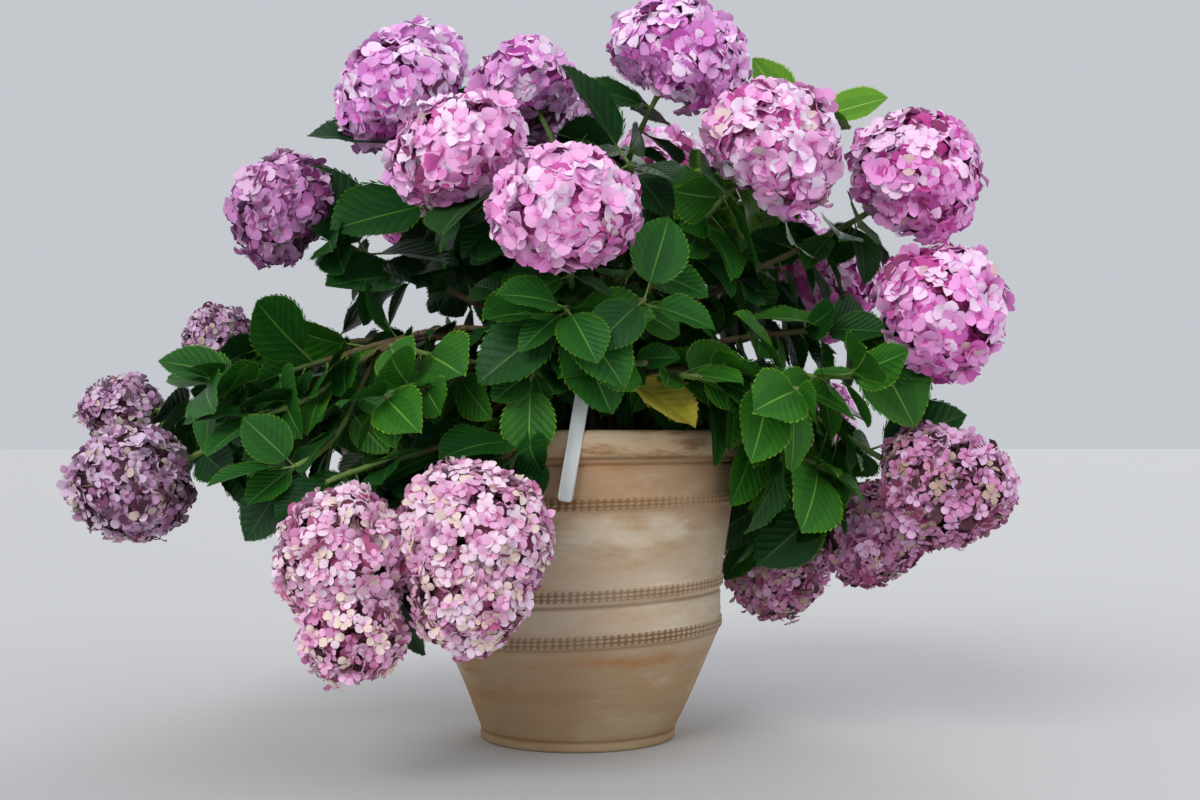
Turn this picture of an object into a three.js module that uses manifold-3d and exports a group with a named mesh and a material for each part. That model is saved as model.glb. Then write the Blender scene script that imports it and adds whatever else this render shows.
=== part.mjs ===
// A mophead hydrangea in a hand-thrown terracotta pot, as a scene graph of separate solids.
// Millimetres, +Z up, the front of the plant faces -Y. The origin is the middle of the pot's flat underside.
import * as THREE from 'three';
import { mergeVertices } from 'three/addons/utils/BufferGeometryUtils.js';
import Module from 'manifold-3d';

const wasm = await Module();
wasm.setup();

// Driving dimensions.
const GAP = 0.4; // between pieces that touch
const POT = {
  height: 380, footRadius: 121, kneeRadius: 173, kneeHeight: 136, waistRadius: 169, waistHeight: 188,
  neckRadius: 181, neckHeight: 340, rimRadius: 190, rimHeight: 33, wall: 13, floor: 20,
  bandWidth: 14, bandProud: 3, upperBandHeight: 294, lean: 20, sides: 36,
};
const SOIL_HEIGHT = 338;
const STOOL = { radius: 88, height: 30, sides: 14 };
const LABEL = { width: 17, thickness: 1.2, length: 150, foot: [-12, 299], tiltSide: 9.5, tiltBack: 4.9 };
const CANE = { footRadius: 5.2, tipRadius: 3.8, flare: 1.35, apart: 15.5, share: 0.43, sides: 5, steps: 5 };
const TWIG = { rootRadius: 4.2, tipRadius: 3.2, fork: 0.5, sides: 3, steps: 5 };
const LEAF = {
  length: 114, width: 0.32, wide: 0.4, shoulder: 0.74, shoulderWidth: 0.84,
  thickness: 0.036, thickest: 0.34, sink: 1.5, fold: 0.07, droop: 0.26, rise: 0.18, clear: 0.6,
  step: 42, lay: 0.35, hang: 0.3, outward: 1.2,
};
const HEAD = { crown: 0.58, skirt: 0.42, bump: 0.05, below: 16, lean: 0.75 };
const PULL = { tip: 0.38, low: 0.62, high: 0.4, fork: 0.35 }; // how far a curve keeps its end's way

// The turn, lift and size of a leaf, in the order in which they are tried.
const SPREAD = [[0, 0, 1], [0.35, 0.1, 1], [-0.35, 0.1, 1], [0.1, 0.4, 0.95], [-0.1, -0.3, 0.95],
  [0.7, 0.2, 0.85], [-0.7, 0.2, 0.85], [0.2, 0.7, 0.75], [-0.2, -0.5, 0.75]];
const IN_VIEW = [[-25, 150, 425], [-150, 150, 305]]; // the pot's front: x from, x to, and kept bare below

// The plan of the shrub: each mass of foliage is listed with its shoots. A shoot is [azimuth in degrees,
// reach from the pot's middle, height, head width, head height, rise and heading of its tip].
// Azimuth 0 is to the right and 90 to the back. A shoot with no head ends in a pair of leaves.
const PLAN = {
  front_middle: [[268, 262, 615, 162, 132, 2.4], [228, 204, 703, 160, 112]],
  top_left: [[186, 222, 792, 160, 124], [152, 242, 858, 132, 100]],
  top_middle: [[137, 92, 818, 138, 124], [298, 135, 694, 0, 0, 0.5, 255]],
  top_right: [[334, 139, 831, 172, 122]],
  upper_right: [[330, 262, 709, 166, 138]],
  sky_leaves: [[356, 290, 764, 0, 0, 0.4], [20, 250, 690, 0, 0]],
  middle_leaves: [[236, 150, 540, 0, 0], [292, 176, 566, 0, 0], [268, 250, 515, 0, 0], [288, 250, 525, 0, 0]],
  far_upper_right: [[352, 412, 682, 164, 148]],
  right: [[345, 438, 520, 160, 150]],
  back_right: [[22, 350, 572, 146, 138]],
  right_low: [[349, 434, 314, 148, 162], [8, 370, 246, 130, 124], [30, 296, 206, 144, 134]],
  left_high: [[182, 362, 652, 142, 122]],
  left_far: [[189, 530, 318, 136, 154], [171, 596, 400, 104, 106]],
  left_back: [[157, 540, 505, 96, 92]],
  left_side: [[196, 450, 434, 0, 0], [207, 404, 398, 0, 0], [218, 392, 340, 0, 0]],
  left_front: [[230, 325, 416, 0, 0], [214, 262, 478, 0, 0]],
  front_left_low: [[230, 322, 280, 0, 0], [222, 368, 322, 0, 0]],
  front_low: [
    [252, 338, 261, 170, 126], [252, 350, 207, 128, 112], [232, 392, 245, 154, 134], [235, 400, 174, 118, 108],
  ],
  front_rim: [[256, 208, 440, 0, 0, -0.8], [291, 222, 456, 0, 0]],
  right_rim: [[304, 250, 440, 0, 0], [322, 322, 426, 0, 0], [335, 352, 442, 0, 0]],
  right_under: [[342, 302, 340, 0, 0]],
  back_left_high: [[128, 330, 690, 160, 130], [100, 250, 800, 146, 116]],
  back_middle: [[84, 400, 560, 162, 136], [68, 300, 735, 154, 124]],
  back_right_high: [[46, 370, 650, 158, 130]],
  back_right_low: [[42, 420, 380, 156, 148], [58, 410, 262, 124, 110]],
  back_low: [[92, 430, 330, 158, 142]],
  back_left_low: [[128, 450, 380, 156, 142], [146, 420, 262, 120, 108]],
};

const FINISH = {
  terracotta: { color: 0xb98a66, roughness: 0.9, metalness: 0 },
  soil: { color: 0x2e241c, roughness: 1, metalness: 0 },
  bark: { color: 0x7a6249, roughness: 0.85, metalness: 0 },
  foliage: { color: 0x2f6b2a, roughness: 0.6, metalness: 0 },
  label: { color: 0xe9e9e4, roughness: 0.4, metalness: 0 },
};

const UP = new THREE.Vector3(0, 0, 1);
const DEG = Math.PI / 180;
const group = new THREE.Group();

// Adds one named mesh to the part.
function addMesh(name, geometry, finish) {
  const mesh = new THREE.Mesh(geometry, new THREE.MeshStandardMaterial(finish));
  mesh.name = name;
  group.add(mesh);
}

// A number from 0 to 1 that is always the same for the same whole number.
function chance(seed) {
  const first = Math.imul((seed + 1) ^ 0x9e3779b9, 0x85ebca6b) >>> 0;
  const second = Math.imul(first ^ (first >>> 13), 0xc2b2ae35) >>> 0;
  return ((second ^ (second >>> 16)) >>> 0) / 4294967296;
}

// A closed geometry as a solid that can be joined and measured.
function solidOf(geometry) {
  const bare = geometry.clone();
  bare.deleteAttribute('normal');
  bare.deleteAttribute('uv');
  const merged = mergeVertices(bare, 1e-4);
  return new wasm.Manifold(new wasm.Mesh({
    numProp: 3,
    vertProperties: merged.attributes.position.array,
    triVerts: new Uint32Array(merged.index.array),
  }));
}

// A solid's surface as a geometry again.
function geometryOf(solid) {
  const mesh = solid.getMesh();
  return new THREE.BufferGeometry()
    .setAttribute('position', new THREE.BufferAttribute(new Float32Array(mesh.vertProperties), 3))
    .setIndex(new THREE.BufferAttribute(new Uint32Array(mesh.triVerts), 1));
}

// A geometry from its corners and its faces.
function faceted(places, faces) {
  return new THREE.BufferGeometry()
    .setAttribute('position', new THREE.Float32BufferAttribute(places.flatMap((p) => p.toArray()), 3))
    .setIndex(faces);
}

// Joined twigs, leaves and heads as one body: sealed hollows are filled and loose scraps dropped.
function oneBody(solids) {
  const bodies = wasm.Manifold.union(solids).decompose().filter((body) => body.volume() > 0);
  return bodies.reduce((largest, body) => (body.volume() > largest.volume() ? body : largest));
}

// A turned solid from its outline of [radius, height] pairs. It leans as the hand-thrown pot does:
// level at every height, but out of true.
function turned(outline, sides) {
  const shear = new THREE.Matrix4();
  shear.elements[8] = POT.lean / POT.height;
  return new THREE.LatheGeometry(outline.map(([r, z]) => new THREE.Vector2(r, z)), sides)
    .rotateX(Math.PI / 2).applyMatrix4(shear);
}

// The pot's inner wall from the neck down to the floor, drawn in by a clearance.
function innerWall(clearance) {
  const inset = POT.wall + clearance;
  return [
    [POT.neckRadius - inset, POT.neckHeight], [POT.kneeRadius - inset - 2, POT.kneeHeight],
    [POT.footRadius - inset, POT.floor + clearance],
  ];
}

// A rouletted band: a low ridge around the pot with bevelled edges.
function band(radius, height) {
  const proud = radius + POT.bandProud;
  const half = POT.bandWidth / 2;
  return [
    [radius, height - half], [proud, height - half + 2], [proud, height + half - 2], [radius, height + half],
  ];
}

function potGeometry() {
  const rimLow = POT.height - POT.rimHeight;
  const outer = [
    [0, 0], [POT.footRadius - 3, 0], [POT.footRadius, 3], [POT.footRadius, 12],
    ...band(POT.kneeRadius - POT.bandProud, POT.kneeHeight), ...band(POT.waistRadius, POT.waistHeight),
    ...band(POT.neckRadius - POT.bandProud, POT.upperBandHeight),
    [POT.neckRadius, POT.neckHeight], [POT.rimRadius - 2, rimLow], [POT.rimRadius, rimLow + 13],
    [POT.rimRadius - 2, POT.height - 5], [POT.rimRadius - 6, POT.height], [POT.rimRadius - 14, POT.height],
    [POT.rimRadius - 18, POT.height - 7],
  ];
  return turned([...outer, ...innerWall(0), [0, POT.floor]], POT.sides);
}

// The compost that fills the pot to just below its neck.
function soilGeometry() {
  const [top, ...below] = innerWall(GAP);
  const outline = [[0, POT.floor + GAP], ...below.reverse(), [top[0] - 0.5, SOIL_HEIGHT], [0, SOIL_HEIGHT]];
  return turned(outline, POT.sides);
}

// The old woody stool that the canes rise from, cut flat where it meets the soil.
function stoolGeometry() {
  const low = SOIL_HEIGHT + GAP;
  const high = low + STOOL.height;
  return turned([[0, low], [STOOL.radius + 6, low], [STOOL.radius + 4, low + 9], [STOOL.radius, high - 4],
    [STOOL.radius - 3, high], [0, high]], STOOL.sides);
}

// The blank strip label that leans on the front of the rim, moved in until it all but touches.
function labelGeometry() {
  const shape = new THREE.BoxGeometry(LABEL.width, LABEL.thickness, LABEL.length);
  shape.translate(0, -LABEL.thickness / 2, LABEL.length / 2);
  shape.rotateX(-LABEL.tiltBack * DEG).rotateY(LABEL.tiltSide * DEG);
  const [x, z] = LABEL.foot;
  shape.translate(x, -POT.rimRadius - (POT.height - z) * Math.tan(LABEL.tiltBack * DEG), z);
  const pot = solidOf(potGeometry());
  for (let pass = 0; pass < 4; pass++) {
    shape.translate(0, pot.minGap(solidOf(shape), 20) - GAP, 0);
  }
  return shape;
}

// A tapering limb along a share of a curve, closed by flat ends.
function limbGeometry({ curve, from, to }, radiusAt, sides, steps) {
  const places = [];
  let side = new THREE.Vector3(0.36, 0.93, 0.05);
  for (let i = 0; i <= steps; i++) {
    const share = from + (to - from) * i / steps;
    const along = curve.getTangentAt(share);
    side = side.clone().addScaledVector(along, -side.dot(along)).normalize();
    const across = new THREE.Vector3().crossVectors(along, side);
    for (let k = 0; k < sides; k++) {
      const turn = 2 * Math.PI * k / sides;
      const radius = radiusAt(i / steps);
      places.push(curve.getPointAt(share).addScaledVector(side, radius * Math.cos(turn))
        .addScaledVector(across, radius * Math.sin(turn)));
    }
  }
  const faces = [];
  for (let i = 0; i < steps; i++) {
    for (let k = 0; k < sides; k++) {
      const a = i * sides + k;
      const b = i * sides + (k + 1) % sides;
      faces.push(a, b, a + sides, b, b + sides, a + sides);
    }
  }
  const last = steps * sides;
  for (let k = 1; k < sides - 1; k++) {
    faces.push(0, k + 1, k, last, last + k, last + k + 1);
  }
  return faceted(places, faces);
}

const { lerp, clamp } = THREE.MathUtils;
const caneRadius = (t) => lerp(CANE.footRadius, CANE.tipRadius, t) * (t === 0 ? CANE.flare : 1);
const twigRadius = (t) => lerp(TWIG.rootRadius, TWIG.tipRadius, t);

// Where a shoot ends, and the way its tip points. Unless they are set, high ones look up, low ones hang over
// and look down, and all look outwards.
function tipOf([azimuth, reach, height, , , rise, heading]) {
  const level = (angle) => new THREE.Vector3(Math.cos(angle * DEG), Math.sin(angle * DEG), 0);
  const climb = rise ?? clamp((height - 440) / 300, -0.75, 1.6);
  return {
    at: level(azimuth).multiplyScalar(reach).setZ(height),
    way: level(heading ?? azimuth).addScaledVector(UP, climb).normalize(),
  };
}

// A curve that leaves a start one way and comes to a tip the tip's way.
function arch(start, startWay, tip, pull) {
  const far = start.distanceTo(tip.at);
  return new THREE.CubicBezierCurve3(
    start, start.clone().addScaledVector(startWay, pull * far),
    tip.at.clone().addScaledVector(tip.way, -PULL.tip * far), tip.at,
  );
}

// A domed flower head, lumpy with florets: a ball squashed along its stem, fuller above than below.
function headSolid(tip, width, tall, seed) {
  const cut = new THREE.IcosahedronGeometry(1, 1).deleteAttribute('normal').deleteAttribute('uv');
  const ball = mergeVertices(cut, 1e-4);
  const place = ball.attributes.position;
  for (let i = 0; i < place.count; i++) {
    const lump = 1 + HEAD.bump * (2 * chance(seed + i) - 1);
    const tallness = place.getZ(i) > 0 ? HEAD.crown : HEAD.skirt;
    place.setXYZ(i, place.getX(i) * lump * width / 2, place.getY(i) * lump * width / 2,
      place.getZ(i) * lump * tall * tallness);
  }
  const lean = UP.clone().lerp(tip.way, HEAD.lean).normalize();
  ball.applyQuaternion(new THREE.Quaternion().setFromUnitVectors(UP, lean));
  return solidOf(ball.translate(...tip.at.toArray()));
}

// One leaf: a folded, drooping blade of twelve faces, thickest near its stalk, whose end is sunk in its twig.
function leafSolid(root, way, face, size) {
  const side = new THREE.Vector3().crossVectors(face, way).normalize();
  const top = new THREE.Vector3().crossVectors(way, side).normalize();
  const spot = (along, across, lift) => root.clone().addScaledVector(way, along * size)
    .addScaledVector(side, across * size).addScaledVector(top, (lift - LEAF.droop * along * along) * size);
  const narrow = LEAF.width * LEAF.shoulderWidth;
  const blade = [
    spot(LEAF.wide, LEAF.width, LEAF.fold), spot(LEAF.shoulder, narrow, LEAF.fold), spot(1, 0, 0),
    spot(LEAF.shoulder, -narrow, LEAF.fold), spot(LEAF.wide, -LEAF.width, LEAF.fold),
  ];
  const middles = [1, -1].map((upper) => spot(LEAF.thickest, 0, upper * LEAF.thickness / 2));
  const places = [...blade, ...middles, root.clone().addScaledVector(way, -LEAF.sink)];
  const faces = [5, 0, 7, 5, 7, 4, 6, 7, 0, 6, 4, 7];
  for (let i = 0; i < 4; i++) {
    faces.push(5, i + 1, i, 6, i, i + 1);
  }
  return { solid: solidOf(faceted(places, faces)), outline: blade };
}

// What stands already, so that a new leaf can be kept clear of it.
const standing = [];

function stand(solid, mass, kind, node) {
  standing.push({ solid, mass, kind, node, box: solid.boundingBox() });
}

function boxesMeet(a, b, clear) {
  return [0, 1, 2].every((k) => a.min[k] - clear < b.max[k] && b.min[k] - clear < a.max[k]);
}

// Whether a solid is clear of all that stands, but for its own twigs and the leaf across its node.
function isClear(solid, mass, node) {
  const box = solid.boundingBox();
  return standing.every((other) => (other.mass === mass && (other.kind === 'twig' || other.node === node))
    || !boxesMeet(box, other.box, LEAF.clear) || other.solid.minGap(solid, LEAF.clear) >= LEAF.clear);
}

// Points down the middle of each mass, which share the crown out between the masses.
const spines = [];

function inOwnSpace(point, mass) {
  const nearest = spines.reduce((best, spine) => {
    const far = spine.at.distanceTo(point);
    return far < best.far ? { far, mass: spine.mass } : best;
  }, { far: Infinity });
  return nearest.mass === mass;
}

// Whether a point hangs before the front of the pot, where the label and the bands are in view.
function hidesPot({ x, y, z }) {
  return y < -POT.rimRadius && IN_VIEW.some(([left, right, height]) => x > left && x < right && z < height);
}

addMesh('pot', potGeometry(), FINISH.terracotta);
addMesh('soil', soilGeometry(), FINISH.soil);
addMesh('stool', stoolGeometry(), FINISH.bark);
addMesh('plant_label', labelGeometry(), FINISH.label);
group.children.forEach((mesh) => stand(solidOf(mesh.geometry), mesh.name, 'base'));

// The canes' feet on the stool: those of high shoots near its middle and of low ones near its edge,
// pushed apart until none stands too near another.
const stoolTop = SOIL_HEIGHT + 2 * GAP + STOOL.height;
const stoolMiddle = POT.lean * stoolTop / POT.height;
const feet = Object.values(PLAN).map(([[azimuth, , height]]) => {
  const ring = lerp(STOOL.radius - 14, 12, clamp((height - 280) / 520, 0, 1));
  return new THREE.Vector3(Math.cos(azimuth * DEG) * ring, Math.sin(azimuth * DEG) * ring, 0);
});
for (let round = 0; round < 200; round++) {
  for (const foot of feet) {
    for (const other of feet) {
      const apart = foot.clone().sub(other);
      const short = CANE.apart - apart.length();
      if (other !== foot && short > 0) {
        foot.addScaledVector(apart.normalize(), short / 2);
        other.addScaledVector(apart, -short / 2);
      }
    }
    foot.clampLength(0, STOOL.radius - 12);
  }
}

// The cane and the shoots of each mass, as shares of curves.
const growth = Object.entries(PLAN).map(([mass, shoots], order) => {
  const foot = feet[order].clone().add(new THREE.Vector3(stoolMiddle, 0, stoolTop));
  const lead = tipOf(shoots[0]);
  const whole = arch(foot, UP, lead, lead.at.z < POT.height + 120 ? PULL.low : PULL.high);
  const cane = { curve: whole, from: 0, to: CANE.share };
  const leader = { curve: whole, from: CANE.share + GAP / whole.getLength(), to: 1 };
  const fork = whole.getPointAt(TWIG.fork);
  const forkWay = whole.getTangentAt(TWIG.fork);
  const others = shoots.slice(1).map((shoot) => (
    { curve: arch(fork, forkWay, tipOf(shoot), PULL.fork), from: 0, to: 1 }
  ));
  return { mass, shoots, cane, twigs: [leader, ...others] };
});

// Canes and twigs stand first, then the heads, and then the leaves find room between them.
for (const plant of growth) {
  const cane = limbGeometry(plant.cane, caneRadius, CANE.sides, CANE.steps);
  addMesh(`cane_${plant.mass}`, cane, FINISH.bark);
  stand(solidOf(cane), `cane_${plant.mass}`, 'cane');
  plant.pieces = plant.twigs.map((twig) => solidOf(limbGeometry(twig, twigRadius, TWIG.sides, TWIG.steps)));
  plant.pieces.forEach((twig) => stand(twig, plant.mass, 'twig'));
  plant.twigs.forEach(({ curve, from, to }) => {
    for (let i = 0; i <= TWIG.steps; i++) {
      spines.push({ at: curve.getPointAt(from + (to - from) * i / TWIG.steps), mass: plant.mass });
    }
  });
}
growth.forEach((plant, order) => plant.shoots.forEach((shoot, which) => {
  if (shoot[3] > 0) {
    const head = headSolid(tipOf(shoot), shoot[3], shoot[4], order * 977 + which * 131);
    plant.pieces.push(head);
    stand(head, plant.mass, 'head');
  }
}));

// One leaf at a node, in the first of the tried spreads that has room. Leaves that would stand up are
// laid over, all hang a little, and their upper sides look up and outwards.
function growLeaf(plant, node, grow, turn, size, seed) {
  const level = new THREE.Vector3().crossVectors(grow, UP).normalize();
  const face = new THREE.Vector3(node.x, node.y, 0).normalize().multiplyScalar(LEAF.outward).add(UP);
  for (const [swing, lift, scale] of SPREAD) {
    const way = level.clone().applyAxisAngle(grow, turn + swing);
    way.z *= way.z > 0 ? LEAF.lay : 1;
    way.addScaledVector(grow, LEAF.rise + lift).addScaledVector(UP, 0.1 * chance(seed) - LEAF.hang);
    way.normalize();
    const leaf = leafSolid(node, way, face, size * scale);
    const kept = leaf.outline.every((point) => inOwnSpace(point, plant.mass) && !hidesPot(point));
    if (kept && isClear(leaf.solid, plant.mass, node)) {
      plant.pieces.push(leaf.solid);
      stand(leaf.solid, plant.mass, 'leaf', node);
      return;
    }
  }
}

// Pairs of leaves down each shoot from its tip, each pair a quarter turn from the one above.
growth.forEach((plant, order) => {
  plant.twigs.forEach(({ curve, from, to }, which) => {
    const shoot = plant.shoots[which];
    const length = curve.getLength();
    const first = shoot[4] > 0 ? shoot[4] * HEAD.skirt + HEAD.below : 0;
    for (let back = first, row = 0; back < 0.94 * (to - from) * length; back += LEAF.step, row++) {
      const share = to - back / length;
      const node = curve.getPointAt(share);
      const grow = curve.getTangentAt(share);
      const seed = ((order * 8 + which) * 16 + row) * 8;
      const turn = (row % 2) * Math.PI / 2 - which * 0.7 + 0.5 * (chance(seed) - 0.5);
      const size = LEAF.length * (0.85 + 0.35 * chance(seed + 1));
      growLeaf(plant, node, grow, turn, size, seed + 2);
      growLeaf(plant, node, grow, turn + Math.PI, size, seed + 3);
    }
  });
  addMesh(`mass_${plant.mass}`, geometryOf(oneBody(plant.pieces)), FINISH.foliage);
});

export default group;
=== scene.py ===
"""A mophead hydrangea in a hand-thrown terracotta pot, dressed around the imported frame.

The shrub grows here by the same rule as in the part's source, from the same plan, and is carried on
to finer twigs, leaves and florets. Lengths are millimetres until Piece.build makes them metres.
"""

import logging
import math
from dataclasses import dataclass, field
from enum import Enum
from functools import cache

import bpy
import numpy as np
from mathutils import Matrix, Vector, kdtree


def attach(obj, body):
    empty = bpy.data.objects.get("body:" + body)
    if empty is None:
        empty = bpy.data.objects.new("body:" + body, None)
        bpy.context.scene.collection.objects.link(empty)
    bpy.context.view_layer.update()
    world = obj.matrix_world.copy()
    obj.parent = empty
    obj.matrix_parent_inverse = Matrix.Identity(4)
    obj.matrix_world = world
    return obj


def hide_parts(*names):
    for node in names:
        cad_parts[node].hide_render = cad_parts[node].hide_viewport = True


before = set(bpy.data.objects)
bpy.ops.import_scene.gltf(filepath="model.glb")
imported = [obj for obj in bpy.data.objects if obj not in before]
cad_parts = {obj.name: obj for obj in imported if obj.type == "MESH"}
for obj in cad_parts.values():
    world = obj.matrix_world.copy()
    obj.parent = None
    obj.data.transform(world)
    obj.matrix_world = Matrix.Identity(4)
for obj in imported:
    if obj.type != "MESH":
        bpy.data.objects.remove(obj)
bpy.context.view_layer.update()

log = logging.getLogger("hydrangea")

Array = np.ndarray
Draws = np.random.Generator
Place = tuple[float, float, float]
Colour = tuple[int, int, int]
Shade = tuple[float, float, float, float]
Socket = bpy.types.NodeSocket
Tree = bpy.types.NodeTree
Node = bpy.types.Node
Material = bpy.types.Material
MM = 0.001
UP = np.array([0.0, 0.0, 1.0])
WHITE = (1, 1, 1, 1)
TURN = 2 * math.pi


# Small array maths.


def unit(vectors: Array) -> Array:
    """Vectors divided by their own lengths."""
    return vectors / np.maximum(np.linalg.norm(vectors, axis=-1, keepdims=True), 1e-12)


def level(degrees: float) -> Array:
    """The level unit vector (cos, sin, 0) at an azimuth."""
    return np.array([math.cos(math.radians(degrees)), math.sin(math.radians(degrees)), 0.0])


def mix(start: Array | float, end: Array | float, share: Array | float) -> Array | float:
    """The value a share of the way from start to end."""
    return start + (end - start) * share


def smooth_step(values: Array, low: float, high: float) -> Array:
    """0 below low, 1 above high, and 3x^2 - 2x^3 between."""
    x = np.clip((values - low) / (high - low), 0, 1)
    return x * x * (3 - 2 * x)


def chance(seed: int) -> float:
    """The source's number from 0 to 1 for a whole number: two rounds of 32-bit multiply and fold.

    Args:
        seed: the whole number.

    Returns:
        The number.
    """
    first = (((seed + 1) ^ 0x9E3779B9) * 0x85EBCA6B) & 0xFFFFFFFF
    second = ((first ^ (first >> 13)) * 0xC2B2AE35) & 0xFFFFFFFF
    return (second ^ (second >> 16)) / 4294967296


def turned_about(vectors: Array, axis: Array, angle: float) -> Array:
    """Vectors turned about a unit axis: v cos a + (k x v) sin a + k (k.v)(1 - cos a)."""
    along, cosine = (vectors @ axis)[..., None] * axis, math.cos(angle)
    return vectors * cosine + np.cross(axis, vectors) * math.sin(angle) + along * (1 - cosine)


def ripple(
    angle: Array, height: Array, seed: int, waves: int = 6, around: int = 5, rise: float = 60.0
) -> Array:
    """A slow unevenness from -1 to 1 over a turned wall: a mean of sines of its angle and height.

    Args:
        angle: azimuths in radians.
        height: heights in millimetres, broadcast with angle.
        seed: picks the sines.
        waves: how many sines are added.
        around: the most turns of a sine around the wall.
        rise: the shortest wave up the wall, in millimetres.

    Returns:
        The unevenness at each place.
    """
    rng = np.random.default_rng(seed)
    total = 0.0
    for _ in range(waves):
        turns = int(rng.integers(0, around + 1))
        climb = height * rng.uniform(0.1, 1) * 2 * math.pi / rise
        total = total + np.sin(turns * angle + climb + rng.uniform(0, 6.28))
    return total / waves * 1.6


# Meshes and pieces.


def grid_faces(rows: int, columns: int, closed: bool = False) -> Array:
    """Quads over a grid of points read row by row, facing (row direction) x (next row).

    Args:
        rows: number of rows of points.
        columns: number of points in a row.
        closed: whether the last column joins the first.

    Returns:
        An array of four corner numbers for each quad.
    """
    across = np.arange(columns if closed else columns - 1)
    down = np.arange(rows - 1)[:, None] * columns
    near, far = down + across, down + (across + 1) % columns
    return np.stack([near, far, far + columns, near + columns], -1).reshape(-1, 4)


def fan_faces(centre: int, ring: Array, outwards: bool) -> Array:
    """Triangles from a centre point's number to each side of a closed ring of point numbers."""
    pair = (ring, np.roll(ring, -1)) if outwards else (np.roll(ring, -1), ring)
    return np.stack([np.full(len(ring), centre), *pair], -1)


def end_faces(rows: int, columns: int) -> Array:
    """Triangles that close a turned grid's first and last rings by two middles, its last points."""
    count, ring = rows * columns, np.arange(columns)
    return np.concatenate([
        fan_faces(count, ring, False), fan_faces(count + 1, count - columns + ring, True)
    ])


def turned_faces(rows: int, columns: int) -> list[tuple[Array, int]]:
    """All faces of a turned grid with its two middles, as Piece.add takes them."""
    return [(grid_faces(rows, columns, closed=True), 0), (end_faces(rows, columns), 0)]


def repeated(faces: Array, corners: int, copies: int) -> Array:
    """A shape's faces once for each copy, counted on by the shape's number of corners."""
    return (faces[None] + corners * np.arange(copies)[:, None, None]).reshape(-1, faces.shape[1])


class Piece:
    """One visible piece, gathered from arrays of points and faces, each face with its finish's number."""

    def __init__(self, name: str) -> None:
        """An empty piece with its final name.

        Args:
            name: the piece's name.
        """
        self.name = name
        self.points: list[Array] = []
        self.charts: list[Array] = []
        self.hollows: list[Array] = []
        self.faces: list[Array] = []
        self.finish: list[Array] = []
        self.count = 0

    def add(
        self, points: Array, shapes: list[tuple[Array, Array | int]], chart: Array | None = None,
        hollow: Array | None = None,
    ) -> None:
        """Adds points and the faces between them.

        Args:
            points: places in millimetres, any shape ending in 3.
            shapes: pairs of an array of faces (all of three or all of four corners) and their finish numbers.
            chart: a place on the piece's own map for each point, or nothing.
            hollow: how deep each point lies in a carved pattern, from 0 to 1, or nothing.
        """
        points = points.reshape(-1, 3)
        self.hollows.append(np.zeros(len(points)) if hollow is None else hollow.ravel())
        self.points.append(points)
        self.charts.append(np.zeros((len(points), 2)) if chart is None else chart.reshape(-1, 2))
        for faces, finish in shapes:
            self.faces.append(faces + self.count)
            self.finish.append(np.broadcast_to(np.asarray(finish), len(faces)).ravel())
        self.count += len(points)

    def build(self, finishes: list[Material]) -> bpy.types.Object:
        """The gathered arrays as a smooth-shaded mesh object at the origin.

        Args:
            finishes: the materials that the finish numbers count into; unused ones are left out.

        Returns:
            The object, linked to the scene.
        """
        points = np.concatenate(self.points) * MM
        chart = np.concatenate(self.charts)
        corners = np.concatenate([f.ravel() for f in self.faces])
        sides = np.concatenate([np.full(len(f), f.shape[1]) for f in self.faces])
        used, slots = np.unique(np.concatenate(self.finish), return_inverse=True)
        mesh = bpy.data.meshes.new(self.name)
        mesh.vertices.add(len(points))
        mesh.vertices.foreach_set("co", points.astype(np.float32).ravel())
        mesh.loops.add(len(corners))
        mesh.loops.foreach_set("vertex_index", corners.astype(np.int32))
        mesh.polygons.add(len(sides))
        starts = np.concatenate([[0], np.cumsum(sides)[:-1]])
        mesh.polygons.foreach_set("loop_start", starts.astype(np.int32))
        for number in used:
            mesh.materials.append(finishes[int(number)])
        mesh.polygons.foreach_set("material_index", slots.astype(np.int32))
        mesh.polygons.foreach_set("use_smooth", np.ones(len(sides), bool))
        hollow = np.concatenate(self.hollows)
        if hollow.any():
            depths = mesh.attributes.new("hollow", "FLOAT", "POINT").data
            depths.foreach_set("value", hollow.astype(np.float32))
        if chart.any():
            places = mesh.uv_layers.new(name="chart").uv
            places.foreach_set("vector", chart[corners].astype(np.float32).ravel())
        mesh.update(calc_edges=True)
        mesh.validate()
        piece = bpy.data.objects.new(self.name, mesh)
        bpy.context.scene.collection.objects.link(piece)
        return piece


def corners_of(node: str) -> Array:
    """The corners of a CAD node's mesh, in millimetres.

    Args:
        node: the node's name.

    Returns:
        Points of shape (corners, 3).
    """
    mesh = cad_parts[node].data
    places = np.empty(len(mesh.vertices) * 3, np.float32)
    mesh.vertices.foreach_get("co", places)
    return places.reshape(-1, 3) / MM


def settle(piece: bpy.types.Object, nodes: list[str]) -> None:
    """A finished piece rides on the one body and stands for its CAD nodes, which are hidden.

    Args:
        piece: the piece.
        nodes: the CAD nodes that it replaces.
    """
    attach(piece, "root")
    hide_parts(*nodes)
    triangles = len(piece.data.loops) - 2 * len(piece.data.polygons)
    log.info("%s: %d triangles, for %s", piece.name, triangles, ", ".join(nodes))


# Finishes.


def rgb(red: int, green: int, blue: int) -> Shade:
    """A colour given in screen values from 0 to 255, as the linear values that shaders take."""
    values = (red, green, blue)
    return tuple(((c / 255 + 0.055) / 1.055) ** 2.4 if c > 10 else c / 3294.6 for c in values) + (1.0,)


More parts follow.
